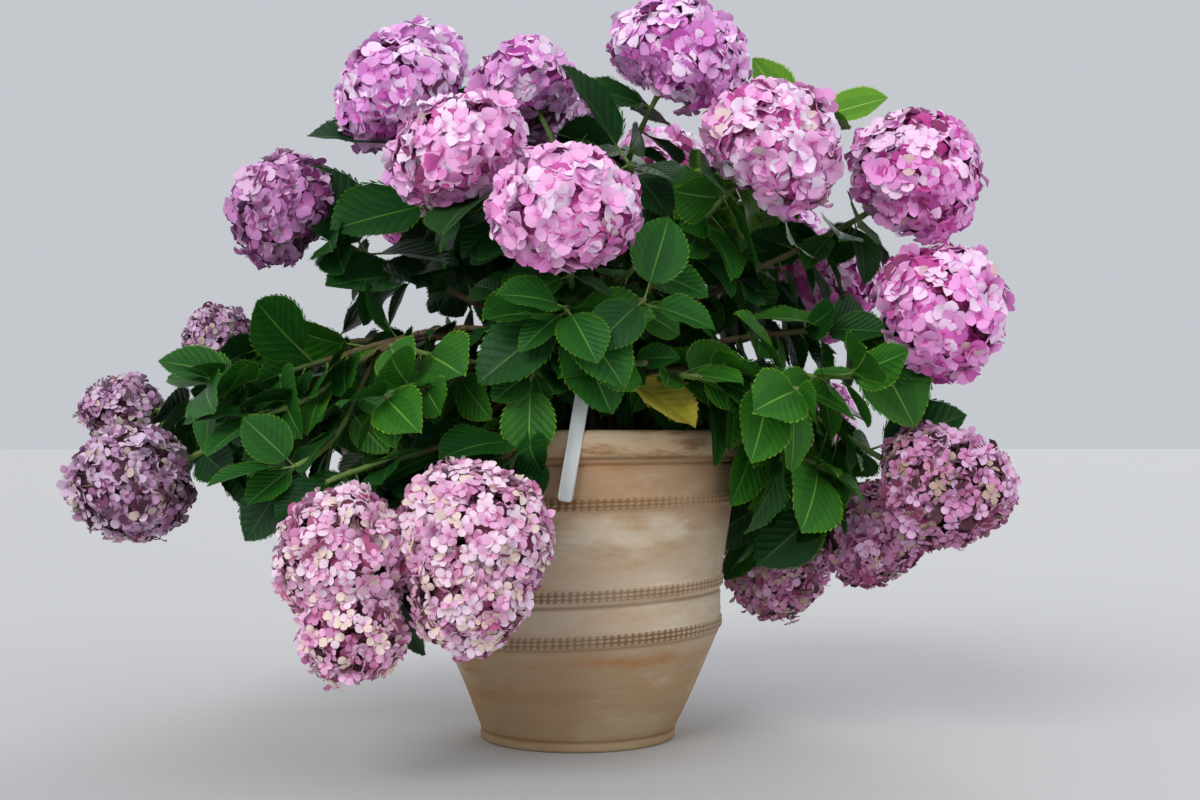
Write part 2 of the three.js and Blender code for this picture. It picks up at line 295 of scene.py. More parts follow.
class Nodes:
    """A short way to lay out the nodes of one tree."""

    def __init__(self, tree: Tree) -> None:
        """Starts on a tree."""
        self.tree = tree

    def add(self, kind: str, inputs: dict | None = None, **settings: object) -> Node:
        """A node with its settings, and its inputs set to values or linked to sockets.

        Args:
            kind: the node's type without its ShaderNode prefix.
            inputs: values or output sockets, by input name or number.
            settings: the node's own properties.

        Returns:
            The node.
        """
        node = self.tree.nodes.new(kind if kind.startswith("Node") else "ShaderNode" + kind)
        for key, value in settings.items():
            setattr(node, key, value)
        for key, value in (inputs or {}).items():
            if isinstance(value, Socket):
                self.tree.links.new(value, node.inputs[key])
            else:
                node.inputs[key].default_value = value
        return node

    def link(self, socket: Socket, node: Node, key: str) -> None:
        """Links an output socket to a node's input."""
        self.tree.links.new(socket, node.inputs[key])

    def maths(self, operation: str, *values: object) -> Socket:
        """The result of one Math node on values or sockets."""
        return self.add("Math", dict(enumerate(values)), operation=operation).outputs[0]

    def spread(self, value: Socket, low: float, high: float) -> Socket:
        """A value's share of the way from low to high, held between 0 and 1."""
        return self.add("MapRange", {"Value": value, "From Min": low, "From Max": high}).outputs[0]

    def blend(self, share: object, first: object, second: object, kind: str = "MIX") -> Socket:
        """The colour a share of the way from first to second."""
        node = self.add("Mix", {0: share, 6: first, 7: second}, data_type="RGBA", blend_type=kind)
        return node.outputs[2]

    def mottle(self, first: object, second: object, *numbers: float) -> Socket:
        """Two colours mottled by noise.

        Args:
            first: a colour, or the socket of one.
            second: the same.
            numbers: the noise's scale, its squash in height, and its low and high.

        Returns:
            The mottled colour.
        """
        scale, squash, low, high = numbers
        values = {"First": first, "Second": second, "Scale": scale, "Squash": (1, 1, squash)}
        group = self.add("Group", {**values, "Low": low, "High": high}, node_tree=mottle_group())
        return group.outputs[0]

    def relief(self, shader: Node, scale: float, depth: float) -> None:
        """Gives a shader the fine relief."""
        group = self.add("Group", {"Scale": scale, "Depth": depth}, node_tree=relief_group())
        self.link(group.outputs["Normal"], shader, "Normal")


def new_group(
    name: str, inputs: dict, outputs: dict
) -> tuple[Nodes, Node, Node, Tree]:
    """An empty shader node group with named sockets.

    Args:
        name: the group's name.
        inputs: socket kinds (Float, Color or Vector) by name, each with its usual value.
        outputs: socket kinds by name.

    Returns:
        The node helper, the group's input node and output node, and the group.
    """
    tree = bpy.data.node_groups.new(name, "ShaderNodeTree")
    for key, (kind, value) in inputs.items():
        socket = tree.interface.new_socket(key, in_out="INPUT", socket_type="NodeSocket" + kind)
        socket.default_value = value
    for key, kind in outputs.items():
        tree.interface.new_socket(key, in_out="OUTPUT", socket_type="NodeSocket" + kind)
    nodes = Nodes(tree)
    return nodes, nodes.add("NodeGroupInput"), nodes.add("NodeGroupOutput"), tree


@cache
def relief_group() -> Tree:
    """A fine natural relief: noise in Object coordinates, as a normal.

    Returns:
        The group.
    """
    nodes, given, out, tree = new_group(
        "fine relief", {"Scale": ("Float", 200.0), "Depth": ("Float", 0.0005)}, {"Normal": "Vector"}
    )
    scale, depth = (given.outputs[name] for name in ("Scale", "Depth"))
    place = nodes.add("TexCoord").outputs["Object"]
    noise = nodes.add("TexNoise", {"Vector": place, "Scale": scale, "Detail": 4.0, "Roughness": 0.6})
    bump = nodes.add("Bump", {"Strength": 1.0, "Distance": depth, "Height": noise.outputs[0]})
    nodes.link(bump.outputs[0], out, "Normal")
    return tree


@cache
def mottle_group() -> Tree:
    """Blotches and streaks: two colours mixed by noise in Object coordinates, squashed as asked.

    Returns:
        The group.
    """
    nodes, given, out, tree = new_group(
        "mottle",
        {"First": ("Color", WHITE), "Second": ("Color", (0, 0, 0, 1)), "Scale": ("Float", 10.0),
         "Squash": ("Vector", (1, 1, 1)), "Low": ("Float", 0.4), "High": ("Float", 0.6)},
        {"Color": "Color"},
    )
    first, second, scale, squash, low, high = (given.outputs[number] for number in range(6))
    place = nodes.add("TexCoord").outputs["Object"]
    placed = nodes.add("VectorMath", {0: place, 1: squash}, operation="MULTIPLY").outputs[0]
    noise = nodes.add("TexNoise", {"Vector": placed, "Scale": scale, "Detail": 5.0, "Roughness": 0.62})
    limits = {"Value": noise.outputs[0], "From Min": low, "From Max": high}
    mask = nodes.add("MapRange", limits, interpolation_type="SMOOTHSTEP").outputs[0]
    nodes.link(nodes.blend(mask, first, second), out, "Color")
    return tree


@cache
def vein_group() -> Tree:
    """A leaf's quilting: pillows between slanting side veins and a groove down the midrib.

    The leaf's own chart holds the share along the blade and the share across it, with the midrib
    at a half.

    Returns:
        The group.
    """
    nodes, given, out, tree = new_group(
        "leaf veins", {"Veins": ("Float", 7.0), "Depth": ("Float", 0.001)}, {"Normal": "Vector"}
    )
    chart = nodes.add("SeparateXYZ", {0: nodes.add("UVMap", uv_map="chart").outputs[0]})
    across = nodes.maths("ABSOLUTE", nodes.maths("SUBTRACT", chart.outputs[1], 0.5))
    place = nodes.add("TexCoord").outputs["Object"]
    wander = nodes.add("TexNoise", {"Vector": place, "Scale": 26.0}).outputs[0]
    slanted = nodes.maths("SUBTRACT", chart.outputs[0], nodes.maths("MULTIPLY", across, 0.72))
    slanted = nodes.maths("ADD", slanted, nodes.maths("MULTIPLY", wander, 0.12))
    phase = nodes.maths("MULTIPLY", nodes.maths("MULTIPLY", slanted, given.outputs["Veins"]), math.pi)
    pillow = nodes.maths("POWER", nodes.maths("ABSOLUTE", nodes.maths("SINE", phase)), 0.7)
    groove = nodes.spread(across, 0.0, 0.09)
    crackle = nodes.add("TexVoronoi", {"Vector": place, "Scale": 300.0}).outputs[0]
    quilt, crackle = nodes.maths("MULTIPLY", pillow, groove), nodes.maths("MULTIPLY", crackle, 0.3)
    height = nodes.maths("ADD", quilt, crackle)
    bump = nodes.add("Bump", {"Strength": 1.0, "Distance": given.outputs["Depth"], "Height": height})
    nodes.link(bump.outputs[0], out, "Normal")
    return tree


def new_material(name: str, values: dict) -> tuple[Material, Nodes, Node]:
    """A node material whose Principled shader has the given values.

    Args:
        name: the material's name.
        values: the shader's own values, by input name.

    Returns:
        The material, a node helper on its tree, and the shader.
    """
    material = bpy.data.materials.new(name)
    material.use_nodes = True
    shader = material.node_tree.nodes["Principled BSDF"]
    for key, value in values.items():
        shader.inputs[key].default_value = value
    return material, Nodes(material.node_tree), shader


@dataclass(frozen=True)
class Soft:
    """A plant finish: one plain base colour with the fine relief of petals, stalks or bark."""

    name: str
    colour: Colour
    roughness: float = 0.6
    scale: float = 220.0
    depth: float = 0.0004
    sheen: float = 0.0

    def material(self) -> Material:
        """The finish as a material.

        Returns:
            The material.
        """
        values = {
            "Base Color": rgb(*self.colour), "Roughness": self.roughness, "Sheen Weight": self.sheen
        }
        material, nodes, shader = new_material(self.name, values)
        nodes.relief(shader, self.scale, self.depth)
        return material


@dataclass(frozen=True)
class Blade:
    """A leaf finish: one plain green, satin, quilted by its veins."""

    name: str
    colour: Colour
    roughness: float = 0.46
    gloss: float = 0.2
    veins: float = 7.5
    depth: float = 0.0007

    def material(self) -> Material:
        """The finish as a material.

        Returns:
            The material.
        """
        values = {
            "Base Color": rgb(*self.colour), "Roughness": self.roughness,
            "Specular IOR Level": self.gloss,
        }
        material, nodes, shader = new_material(self.name, values)
        veins = nodes.add("Group", {"Veins": self.veins, "Depth": self.depth}, node_tree=vein_group())
        nodes.link(veins.outputs["Normal"], shader, "Normal")
        return material


@dataclass(frozen=True)
class Terracotta:
    """Pale, weathered, hand-thrown clay: warm body, grey-cream bloom, brown streaks, darker foot. Dirt and
    painted shade darken its cuts.
    """

    body: Colour = (186, 160, 130)
    warm: Colour = (184, 134, 90)
    bloom: Colour = (216, 203, 181)
    foot: Colour = (156, 130, 92)
    worn: Colour = (208, 186, 152)
    scuff: Colour = (150, 104, 60)
    dirt_and_shade: Colour = (116, 80, 44)
    smear: Shade = (0.86, 0.76, 0.64, 1)
    speck: Shade = (0.8, 0.74, 0.66, 1)
    rim: tuple[float, float] = (0.343, 0.353)
    neck: tuple[float, float] = (0.25, 0.3)
    belt: Shade = (0.11, 0.15, 0.2, 0.29)
    low: tuple[float, float] = (0.02, 0.15)

    def material(self) -> Material:
        """The finish as a material, its tones shared out by height in metres.

        Returns:
            The material.
        """
        values = {"Roughness": 0.88, "Specular IOR Level": 0.25}
        material, nodes, shader = new_material("weathered_terracotta", values)

        def part(share: Socket, most: float) -> Socket:
            """A share made smaller."""
            return nodes.maths("MULTIPLY", share, most)

        height = nodes.add("SeparateXYZ", {0: nodes.add("TexCoord").outputs["Object"]}).outputs[2]
        warm, bloom = rgb(*self.warm), rgb(*self.bloom)
        tone = nodes.mottle(rgb(*self.body), warm, 6.0, 5.0, 0.47, 0.7)
        tone = nodes.mottle(tone, bloom, 5.0, 2.6, 0.48, 0.66)
        low, full, still, high = self.belt
        belt = nodes.maths("MULTIPLY", nodes.spread(height, low, full), nodes.spread(height, high, still))
        tone = nodes.blend(part(belt, 0.5), tone, bloom)
        tone = nodes.blend(0.8, tone, nodes.mottle(WHITE, self.smear, 9.0, 3.2, 0.5, 0.72), "MULTIPLY")
        tone = nodes.blend(0.5, tone, nodes.mottle(WHITE, self.speck, 48.0, 4.0, 0.5, 0.8), "MULTIPLY")
        tone = nodes.blend(part(nodes.spread(height, *self.neck), 0.3), tone, warm)
        footed = nodes.blend(part(nodes.spread(height, *self.low[::-1]), 0.75), tone, rgb(*self.foot))
        scuffs = nodes.mottle(rgb(*self.worn), rgb(*self.scuff), 16.0, 5.0, 0.5, 0.68)
        whole = nodes.blend(nodes.spread(height, *self.rim), footed, nodes.blend(0.65, tone, scuffs))
        # Dirt and painted shade: the hollow mask darkens the cuts and the lines under steps.
        hollow = nodes.add("Attribute", attribute_name="hollow").outputs["Fac"]
        nodes.link(nodes.blend(part(hollow, 0.88), whole, rgb(*self.dirt_and_shade)), shader, "Base Color")
        nodes.relief(shader, 260.0, 0.0007)
        return material


@dataclass(frozen=True)
class Earthy:
    """Compost, bark or plastic: two colours mottled, with its own relief."""

    name: str
    first: Colour
    second: Colour
    scale: float
    squash: float
    depth: float
    roughness: float

    def material(self) -> Material:
        """The finish as a material.

        Returns:
            The material.
        """
        material, nodes, shader = new_material(self.name, {"Roughness": self.roughness})
        first, second = rgb(*self.first), rgb(*self.second)
        tone = nodes.mottle(first, second, self.scale, self.squash, 0.38, 0.62)
        nodes.link(tone, shader, "Base Color")
        nodes.relief(shader, self.scale * 4, self.depth)
        return material


class Tint(Enum):
    """A flower head's colours: palest, light, middle and deep sepals, which also serve as painted light and
    shade, eyes, fading, and a painted shade for inside.
    """

    PINK = ((253, 228, 252), (247, 182, 232), (236, 142, 212), (216, 90, 176), (206, 110, 172),
            (234, 210, 208), (150, 54, 112))
    ORCHID = ((252, 226, 252), (240, 174, 234), (224, 134, 214), (196, 78, 176), (186, 98, 168),
              (224, 200, 212), (138, 48, 112))
    ROSE = ((252, 216, 248), (245, 164, 230), (226, 104, 196), (200, 62, 156), (196, 86, 156),
            (222, 184, 192), (142, 38, 102))
    MAUVE = ((228, 184, 222), (204, 136, 196), (178, 94, 162), (138, 52, 118), (130, 66, 118),
             (190, 164, 178), (84, 32, 76))
    LILAC = ((222, 194, 220), (196, 148, 188), (164, 104, 150), (120, 54, 92), (120, 66, 92),
             (200, 182, 172), (84, 42, 62))
    FADED = ((248, 220, 238), (238, 180, 218), (220, 138, 188), (182, 88, 134), (172, 104, 120),
             (240, 216, 206), (124, 58, 84))
    DUSTY = ((228, 182, 220), (208, 136, 184), (180, 98, 146), (138, 54, 92), (134, 68, 92),
             (188, 160, 146), (78, 30, 46))


OLD_TINTS = (Tint.LILAC, Tint.FADED, Tint.DUSTY)
SEPAL_STEPS = ("pale", "light", "mid", "deep", "eye", "faded", "shade")
DEEP, EYE, PAST, SHADE = (SEPAL_STEPS.index(step) for step in ("deep", "eye", "faded", "shade"))
FADING = {Tint.PINK: 0.01, Tint.ORCHID: 0.02, Tint.ROSE: 0.03, Tint.MAUVE: 0.05, Tint.LILAC: 0.1,
          Tint.FADED: 0.11, Tint.DUSTY: 0.12}


class Green(Enum):
    """The greens of a leaf by where it grows: its inner blade, outer blade, toothed edge and midrib."""

    DEEP = ((16, 56, 22), (19, 62, 22), (36, 84, 22), (50, 92, 34))
    DARK = ((22, 68, 23), (26, 75, 24), (54, 104, 26), (70, 116, 42))
    MIDDLE = ((30, 84, 25), (36, 93, 26), (76, 130, 30), (90, 140, 52))
    FRESH = ((44, 102, 28), (52, 112, 30), (102, 154, 38), (112, 160, 62))
    # This pale green stands for leaves lit from behind: painted backlight.
    BRIGHT = ((86, 142, 30), (98, 152, 32), (150, 186, 58), (160, 194, 86))
    YELLOWED = ((188, 178, 62), (202, 190, 74), (206, 186, 100), (160, 156, 66))


LEAF_ZONES = ("inner", "outer", "edge", "midrib")
INNER, OUTER, EDGE, MIDRIB = range(4)


class Stem(Enum):
    """The finishes of twigs and stalks, from old wood to the newest green."""

    WOOD = (104, 84, 64)
    BROWNED = (104, 94, 56)
    GREENED = (86, 112, 52)
    STALK = (112, 140, 66)
    BLUSHED = (158, 142, 118)


class Palette:
    """Every plant material, and the number that faces call it by."""

    def __init__(self) -> None:
        """Makes the materials of all tints, greens and stems."""
        self.materials: list[Material] = []
        self.numbers: dict[tuple[Enum, int], int] = {}
        for tint in Tint:
            for step, colour in enumerate(tint.value):
                name = f"sepal_{tint.name.lower()}_{SEPAL_STEPS[step]}"
                soft = Soft(name, colour, 0.55, 260.0, 0.0005, 0.15)
                self._keep((tint, step), soft.material())
        for green in Green:
            for zone, colour in enumerate(green.value):
                blade = Blade(f"leaf_{green.name.lower()}_{LEAF_ZONES[zone]}", colour)
                self._keep((green, zone), blade.material())
        for stem in Stem:
            soft = Soft(f"stem_{stem.name.lower()}", stem.value, 0.7, 420.0, 0.0008)
            self._keep((stem, 0), soft.material())

    def _keep(self, key: tuple[Enum, int], material: Material) -> None:
        """Stores a material under its key."""
        self.numbers[key] = len(self.materials)
        self.materials.append(material)

    def number(self, key: Enum, step: int = 0) -> int:
        """The number of a colour's first step plus step."""
        return self.numbers[(key, step)]


# The pot and what fills it.


@dataclass
class Pot:
    """The hand-thrown pot: turned, out of true, with three rouletted bands and a rolled rim.

    The CAD pot has flat sides, and mean_radius is their mean radius as a share of its corners'.
    """

    height: float = 380
    foot_radius: float = 121
    knee_radius: float = 173
    knee_height: float = 136
    waist_radius: float = 169
    waist_height: float = 188
    neck_radius: float = 181
    neck_height: float = 340
    rim_radius: float = 190
    rim_height: float = 33
    wall: float = 13
    floor: float = 20
    band_width: float = 14
    band_proud: float = 3
    upper_band_height: float = 294
    lean: float = 20
    teeth: int = 126
    columns_per_tooth: int = 5
    mean_radius: float = 0.9977
    plain_step: float = 4.0
    band_step: float = 1.3
    hidden_step: float = 40
    cut_depth: float = 2.3
    ring_pitch: float = 9.5
    ring_depth: float = 0.32
    unevenness: float = 0.55

    def outline(self) -> tuple[Array, Array]:
        """The wall's stations: from the underside's middle, up the outside, down to the floor's middle.

        Returns:
            Radii and heights, closely spaced where the bands and the rim are.
        """
        foot, neck, rim, top = self.foot_radius, self.neck_radius, self.rim_radius, self.height
        low, half = top - self.rim_height, self.band_width / 2
        bands = [(self.knee_radius - self.band_proud, self.knee_height),
                 (self.waist_radius, self.waist_height), (neck - self.band_proud, self.upper_band_height)]
        corners = [(0, 0), (foot - 4, 0), (foot - 1, 1), (foot, 4), (foot, 10), (foot - 1.5, 12.5),
                   (foot + 1, 16)]
        ridge = ((-0.4, -half - 1.5), (1.2, -half), (2.6, -half + 2), (2.9, 0), (2.6, half - 2),
                 (1.2, half), (-0.4, half + 1.5))
        corners += [(radius + out, at + up) for radius, at in bands for out, up in ridge]
        groove = ((-0.5, -12), (0, -9), (-1.4, -7.5), (0.4, -6), (1.5, -2.5), (1.2, -1))
        corners += [(neck + out, low + up) for out, up in groove]
        corners += [(rim + out, low + up) for out, up in ((-4, 1), (-2, 3.5), (0, 11), (-0.4, 19))]
        roll = ((-2, -5), (-4.5, -1.2), (-8, 0), (-13, -0.6), (-16.5, -4), (-18, -9))
        corners += [(rim + out, top + up) for out, up in roll]
        knee = self.knee_radius - self.wall - 2
        corners += [(neck - self.wall, self.neck_height), (knee, self.knee_height),
                    (foot - self.wall, self.floor), (0, self.floor)]
        places = np.array(corners, float)
        steps = []
        for (r0, z0), (r1, z1) in zip(places[:-1], places[1:]):
            inside = r0 < rim - 17 and z1 < z0
            flat = abs(z1 - z0) < 0.5 and abs(r1 - r0) > 50
            banded = any(abs((z0 + z1) / 2 - at) < half for _, at in bands) and not inside
            step = self.band_step if banded else self.hidden_step if inside or flat else self.plain_step
            count = max(1, round(math.hypot(r1 - r0, z1 - z0) / step))
            shares = np.arange(count)[:, None] / count
            steps.append(mix(np.array([r0, z0]), np.array([r1, z1]), shares))
        stations = np.concatenate(steps + [places[-1:]])
        return stations[:, 0], stations[:, 1]

    def surface(self, radii: Array, heights: Array) -> tuple[Array, Array]:
        """The wall as a grid of points: each station turned, pressed by the roulette and sheared.

        radius = station + throwing rings + unevenness - roulette cuts; z = station + the bands' tilt;
        x is sheared by lean x z / height.

        Args:
            radii: each station's radius.
            heights: each station's height.

        Returns:
            Points of shape (stations, columns, 3), and how deep each lies in the cuts or under a step, from 0
            to 1. Dirt and painted shade are laid by this mask.
        """
        columns = self.teeth * self.columns_per_tooth
        angle = np.arange(columns)[None] * TURN / columns
        z = heights[:, None] + 0 * angle
        r = radii[:, None] * self.mean_radius + 0 * angle
        row = np.arange(len(radii))[:, None]
        outside = (row <= int(np.argmax(heights))) & (radii[:, None] > 60)
        plain = outside & (heights[:, None] > 14)
        rings = np.sin(z * TURN / self.ring_pitch + 1.5 * np.sin(angle + 1))
        rings = self.ring_depth * rings * smooth_step(ripple(angle, z, 5), -0.6, 0.5)
        r = r + plain * (rings + self.unevenness * ripple(angle, z, 3, rise=140))
        hollow = 0.0 * z
        # The roulette left three rows of small pads, cut apart by grooves, between two raised lips.
        for at in (self.knee_height, self.waist_height, self.upper_band_height):
            local = (heights[:, None] - at) / (self.band_width / 2)
            on = outside & (np.abs(local) < 0.95)
            column = 0.5 + 0.5 * np.cos(angle * self.teeth)
            line = 0.5 + 0.5 * np.cos(local * 3 * math.pi)
            cut = 1 - np.sqrt(smooth_step(column, 0.06, 0.36) * smooth_step(line, 0.06, 0.42))
            worn = 0.75 + 0.25 * smooth_step(ripple(angle, z, int(at), rise=400), -0.5, 0.3)
            if at == self.upper_band_height:
                worn = worn * mix(0.4, 1.0, smooth_step(-np.cos(angle), -0.72, -0.1))
            r = r - on * self.cut_depth * cut * worn
            # Dirt and painted shade darken the cuts, and a little the pads between them.
            hollow = np.maximum(hollow, on * (0.3 + 0.7 * cut) * worn)
        # The bead over the lowest band and the groove under the middle one.
        r = r + outside * (1.3 * np.exp(-(((z - self.knee_height - 14) / 3.0) ** 2))
                           - 1.3 * np.exp(-(((z - self.waist_height + 12.5) / 1.6) ** 2)))
        marks = [0, 60, self.knee_height, self.waist_height, self.upper_band_height, self.neck_height,
                 self.height]
        tilt = np.interp(heights, marks, [0, 0, 0.052, 0.048, 0.03, 0.012, 0.0])[:, None]
        z = z + outside * tilt * r * np.cos(angle)
        # Dirt and painted shade also darken lines under the rim's step, in the groove under the middle band,
        # under the lowest band and in the foot's step.
        step = self.height - self.rim_height
        lines = ((step - 7, 1.6, 0.7), (step, 1.8, 0.8), (self.waist_height - 12, 1.6, 0.8),
                 (self.knee_height - 9, 2.0, 0.6), (12.5, 2.0, 0.8))
        for at, wide, deep in lines:
            hollow = np.maximum(hollow, outside * deep * np.exp(-(((heights[:, None] - at) / wide) ** 2)))
        x = r * np.cos(angle) + self.lean * z / self.height
        return np.stack([x, r * np.sin(angle), z], -1), hollow

    def dress(self) -> None:
        """Builds the pot's mesh in place of its CAD node."""
        radii, heights = self.outline()
        wall, hollow = self.surface(radii[radii > 0], heights[radii > 0])
        rows, columns = wall.shape[:2]
        middles = [[0, 0, 0], [self.lean * self.floor / self.height, 0, self.floor]]
        points = np.concatenate([wall.reshape(-1, 3), middles])
        piece = Piece("terracotta_pot")
        piece.add(points, turned_faces(rows, columns), hollow=np.concatenate([hollow.ravel(), [0, 0]]))
        settle(piece.build([Terracotta().material()]), ["pot"])


@dataclass
class Filling:
    """The compost in the pot and the old woody stool that the canes rise from."""

    pot: Pot
    top: float = 338
    stool_radius: float = 88
    stool_height: float = 30
    gap: float = 0.4

    def _turned(
        self, outline: list[tuple[float, float]], spacing: float, columns: int
    ) -> tuple[Array, Array, Array]:
        """An outline of radius and height, finely spaced, turned and sheared with the pot.

        Args:
            outline: corners from the bottom's middle to the top's middle.
            spacing: the distance between stations.
            columns: points in a ring.

        Returns:
            The grid of points, the radii and the angles.
        """
        places = np.array(outline, float)
        far = np.concatenate([[0], np.cumsum(np.linalg.norm(np.diff(places, axis=0), axis=1))])
        at = np.unique(np.concatenate([far, np.arange(0, far[-1], spacing)]))
        radii, heights = np.interp(at, far, places[:, 0]), np.interp(at, far, places[:, 1])
        radii = np.maximum(radii, 0.5)
        angle = np.arange(columns) * TURN / columns
        x = radii[:, None] * np.cos(angle) + self.pot.lean * heights[:, None] / self.pot.height
        y = radii[:, None] * np.sin(angle)
        return np.stack([x, y, heights[:, None] + 0 * x], -1), radii, angle

    def _closed(self, name: str, points: Array, material: Material) -> bpy.types.Object:
        """A turned grid closed at both middles, as an object.

        Args:
            name: the piece's name.
            points: the grid, ring by ring.
            material: its finish.

        Returns:
            The object.
        """
        middles = np.stack([points[0].mean(0), points[-1].mean(0)])
        piece = Piece(name)
        piece.add(np.concatenate([points.reshape(-1, 3), middles]), turned_faces(*points.shape[:2]))
        return piece.build([material])

    def dress(self) -> None:
        """Builds the crumbly compost and the gnarled stool."""
        self._dress_compost()
        self._dress_stool()

    def _dress_compost(self) -> None:
        """Builds the compost, whose top is uneven with crumbs."""
        pot = self.pot
        inset = pot.wall + 1.2
        outline = [(0, pot.floor + 1), (pot.foot_radius - inset, pot.floor + 1),
                   (pot.knee_radius - inset - 2, pot.knee_height), (pot.neck_radius - inset, self.top - 3),
                   (pot.neck_radius - inset - 2, self.top), (0, self.top)]
        points, radii, angle = self._turned(outline, 6.0, 110)
        rng = np.random.default_rng(11)
        across = radii[:, None]
        crumbs = rng.uniform(-1, 1, points.shape[:2]) * 1.1 + 1.5 * ripple(angle, across * 3, 12, 9, 12, 40)
        on_top = (points[..., 2] > self.top - 1) & (across < pot.neck_radius - inset - 4) & (across > 1)
        points[..., 2] += np.where(on_top, crumbs - 0.6, 0)
        soil = Earthy("dark_compost", (58, 44, 34), (26, 19, 14), 70.0, 1.0, 0.003, 0.95).material()
        settle(self._closed("compost", points, soil), ["soil"])

    def _dress_stool(self) -> None:
        """Builds the stool, lumpy and furrowed down its side."""
        low, radius = self.top + self.gap, self.stool_radius
        high = low + self.stool_height
        outline = [(0, low), (radius + 5, low), (radius + 3, low + 9), (radius, high - 6),
                   (radius - 6, high - 1), (0, high)]
        points, radii, angle = self._turned(outline, 3.2, 150)
        share = radii[:, None] / radius
        lumps = ripple(angle, share * 60, 21, 12, 16, 30)
        furrows = np.sin(angle * 46 + 3 * ripple(angle, share * 60, 22, 6, 7, 50))
        inwards = -np.abs(lumps) * 2.4 - 0.9 * (0.5 + 0.5 * furrows)
        away = points[..., :2] / np.maximum(np.linalg.norm(points[..., :2], axis=-1, keepdims=True), 1)
        side = smooth_step(share, 0.82, 0.98)[..., None]
        points[..., :2] += away * inwards[..., None] * side
        on_top = (points[..., 2] > high - 4) * smooth_step(share, 0.02, 0.1)
        points[..., 2] += on_top * (inwards * 1.2 + 0.6)
        wood = Earthy("old_wood", (112, 92, 70), (62, 48, 36), 45.0, 0.5, 0.002, 0.9).material()
        settle(self._closed("woody_stool", points, wood), ["stool"])


@dataclass
class Label:
    """The blank strip label on the front of the rim, a little bowed, with rounded corners."""

    bow: float = 1.1
    corner: float = 2.5
    rows: int = 44
    columns: int = 8

    def dress(self) -> None:
        """Builds the strip inside the eight corners of its CAD node.

        A point is middle + along v + across u + through w, with the strip bowed outwards by
        2 bow v(1 - v) and its ends narrowed to quarter circles.
        """
        corners = np.unique(np.round(corners_of("plant_label"), 3), axis=0)
        middle = corners.mean(0)
        _, _, axes = np.linalg.svd(corners - middle)
        spans = np.ptp((corners - middle) @ axes.T, axis=0)
        along, across, through = axes
        along = along if along[2] > 0 else -along
        through = through if through[1] < 0 else -through
        across = np.cross(along, through)
        length, width, thick = spans
        v = np.linspace(0, 1, self.rows)[:, None]
        short = np.clip(self.corner - np.minimum(v, 1 - v) * length, 0, None)
        half = width / 2 - (self.corner - np.sqrt(np.clip(self.corner**2 - short**2, 0, None)))
        u = np.linspace(-1, 1, self.columns)[None] * half
        bowed = self.bow * 4 * v * (1 - v) * 0.5 - 0.35 * (u / (width / 2)) ** 2
        face = middle + (v - 0.5)[..., None] * length * along + u[..., None] * across
        front = face + (bowed + thick * 0.45)[..., None] * through
        back = face + (bowed - thick * 0.45)[..., None] * through
        rows, columns = self.rows, self.columns
        count = rows * columns
        sheet = grid_faces(rows, columns)
        grid = np.arange(count).reshape(rows, columns)
        border = np.concatenate([grid[0], grid[1:, -1], grid[-1, -2::-1], grid[-2:0:-1, 0]])
        after = np.roll(border, -1)
        edge = np.stack([border, border + count, after + count, after], -1)
        piece = Piece("blank_label")
        piece.add(np.concatenate([front.reshape(-1, 3), back.reshape(-1, 3)]),
                  [(sheet[:, ::-1], 0), (sheet + count, 0), (edge, 0)])
        plastic = Earthy("white_label_plastic", (228, 232, 230), (206, 212, 212), 22.0, 0.4, 0.0002, 0.35)
        settle(piece.build([plastic.material()]), ["plant_label"])


# The plan and the rule of the shrub.


class Side(Enum):
    """The parts of the crown, by which its pieces are joined."""

    TOP = "top"
    LEFT = "left"
    RIGHT = "right"
    FRONT = "front"
    BACK = "back"


@dataclass(frozen=True)
class Shoot:
    """A shoot of the plan: its tip's place, its flower head's size, and the way its tip looks."""

    azimuth: float
    reach: float
    height: float
    width: float = 0
    tall: float = 0
    rise: float | None = None
    heading: float | None = None

    def tip(self) -> tuple[Array, Array]:
        """The tip's place, and its way: high ones look up, low ones hang over, unless that is set.

        Returns:
            A place and a unit vector.
        """
        usual = float(np.clip((self.height - 440) / 300, -0.75, 1.6))
        climb = usual if self.rise is None else self.rise
        heading = self.azimuth if self.heading is None else self.heading
        return level(self.azimuth) * self.reach + UP * self.height, unit(level(heading) + UP * climb)


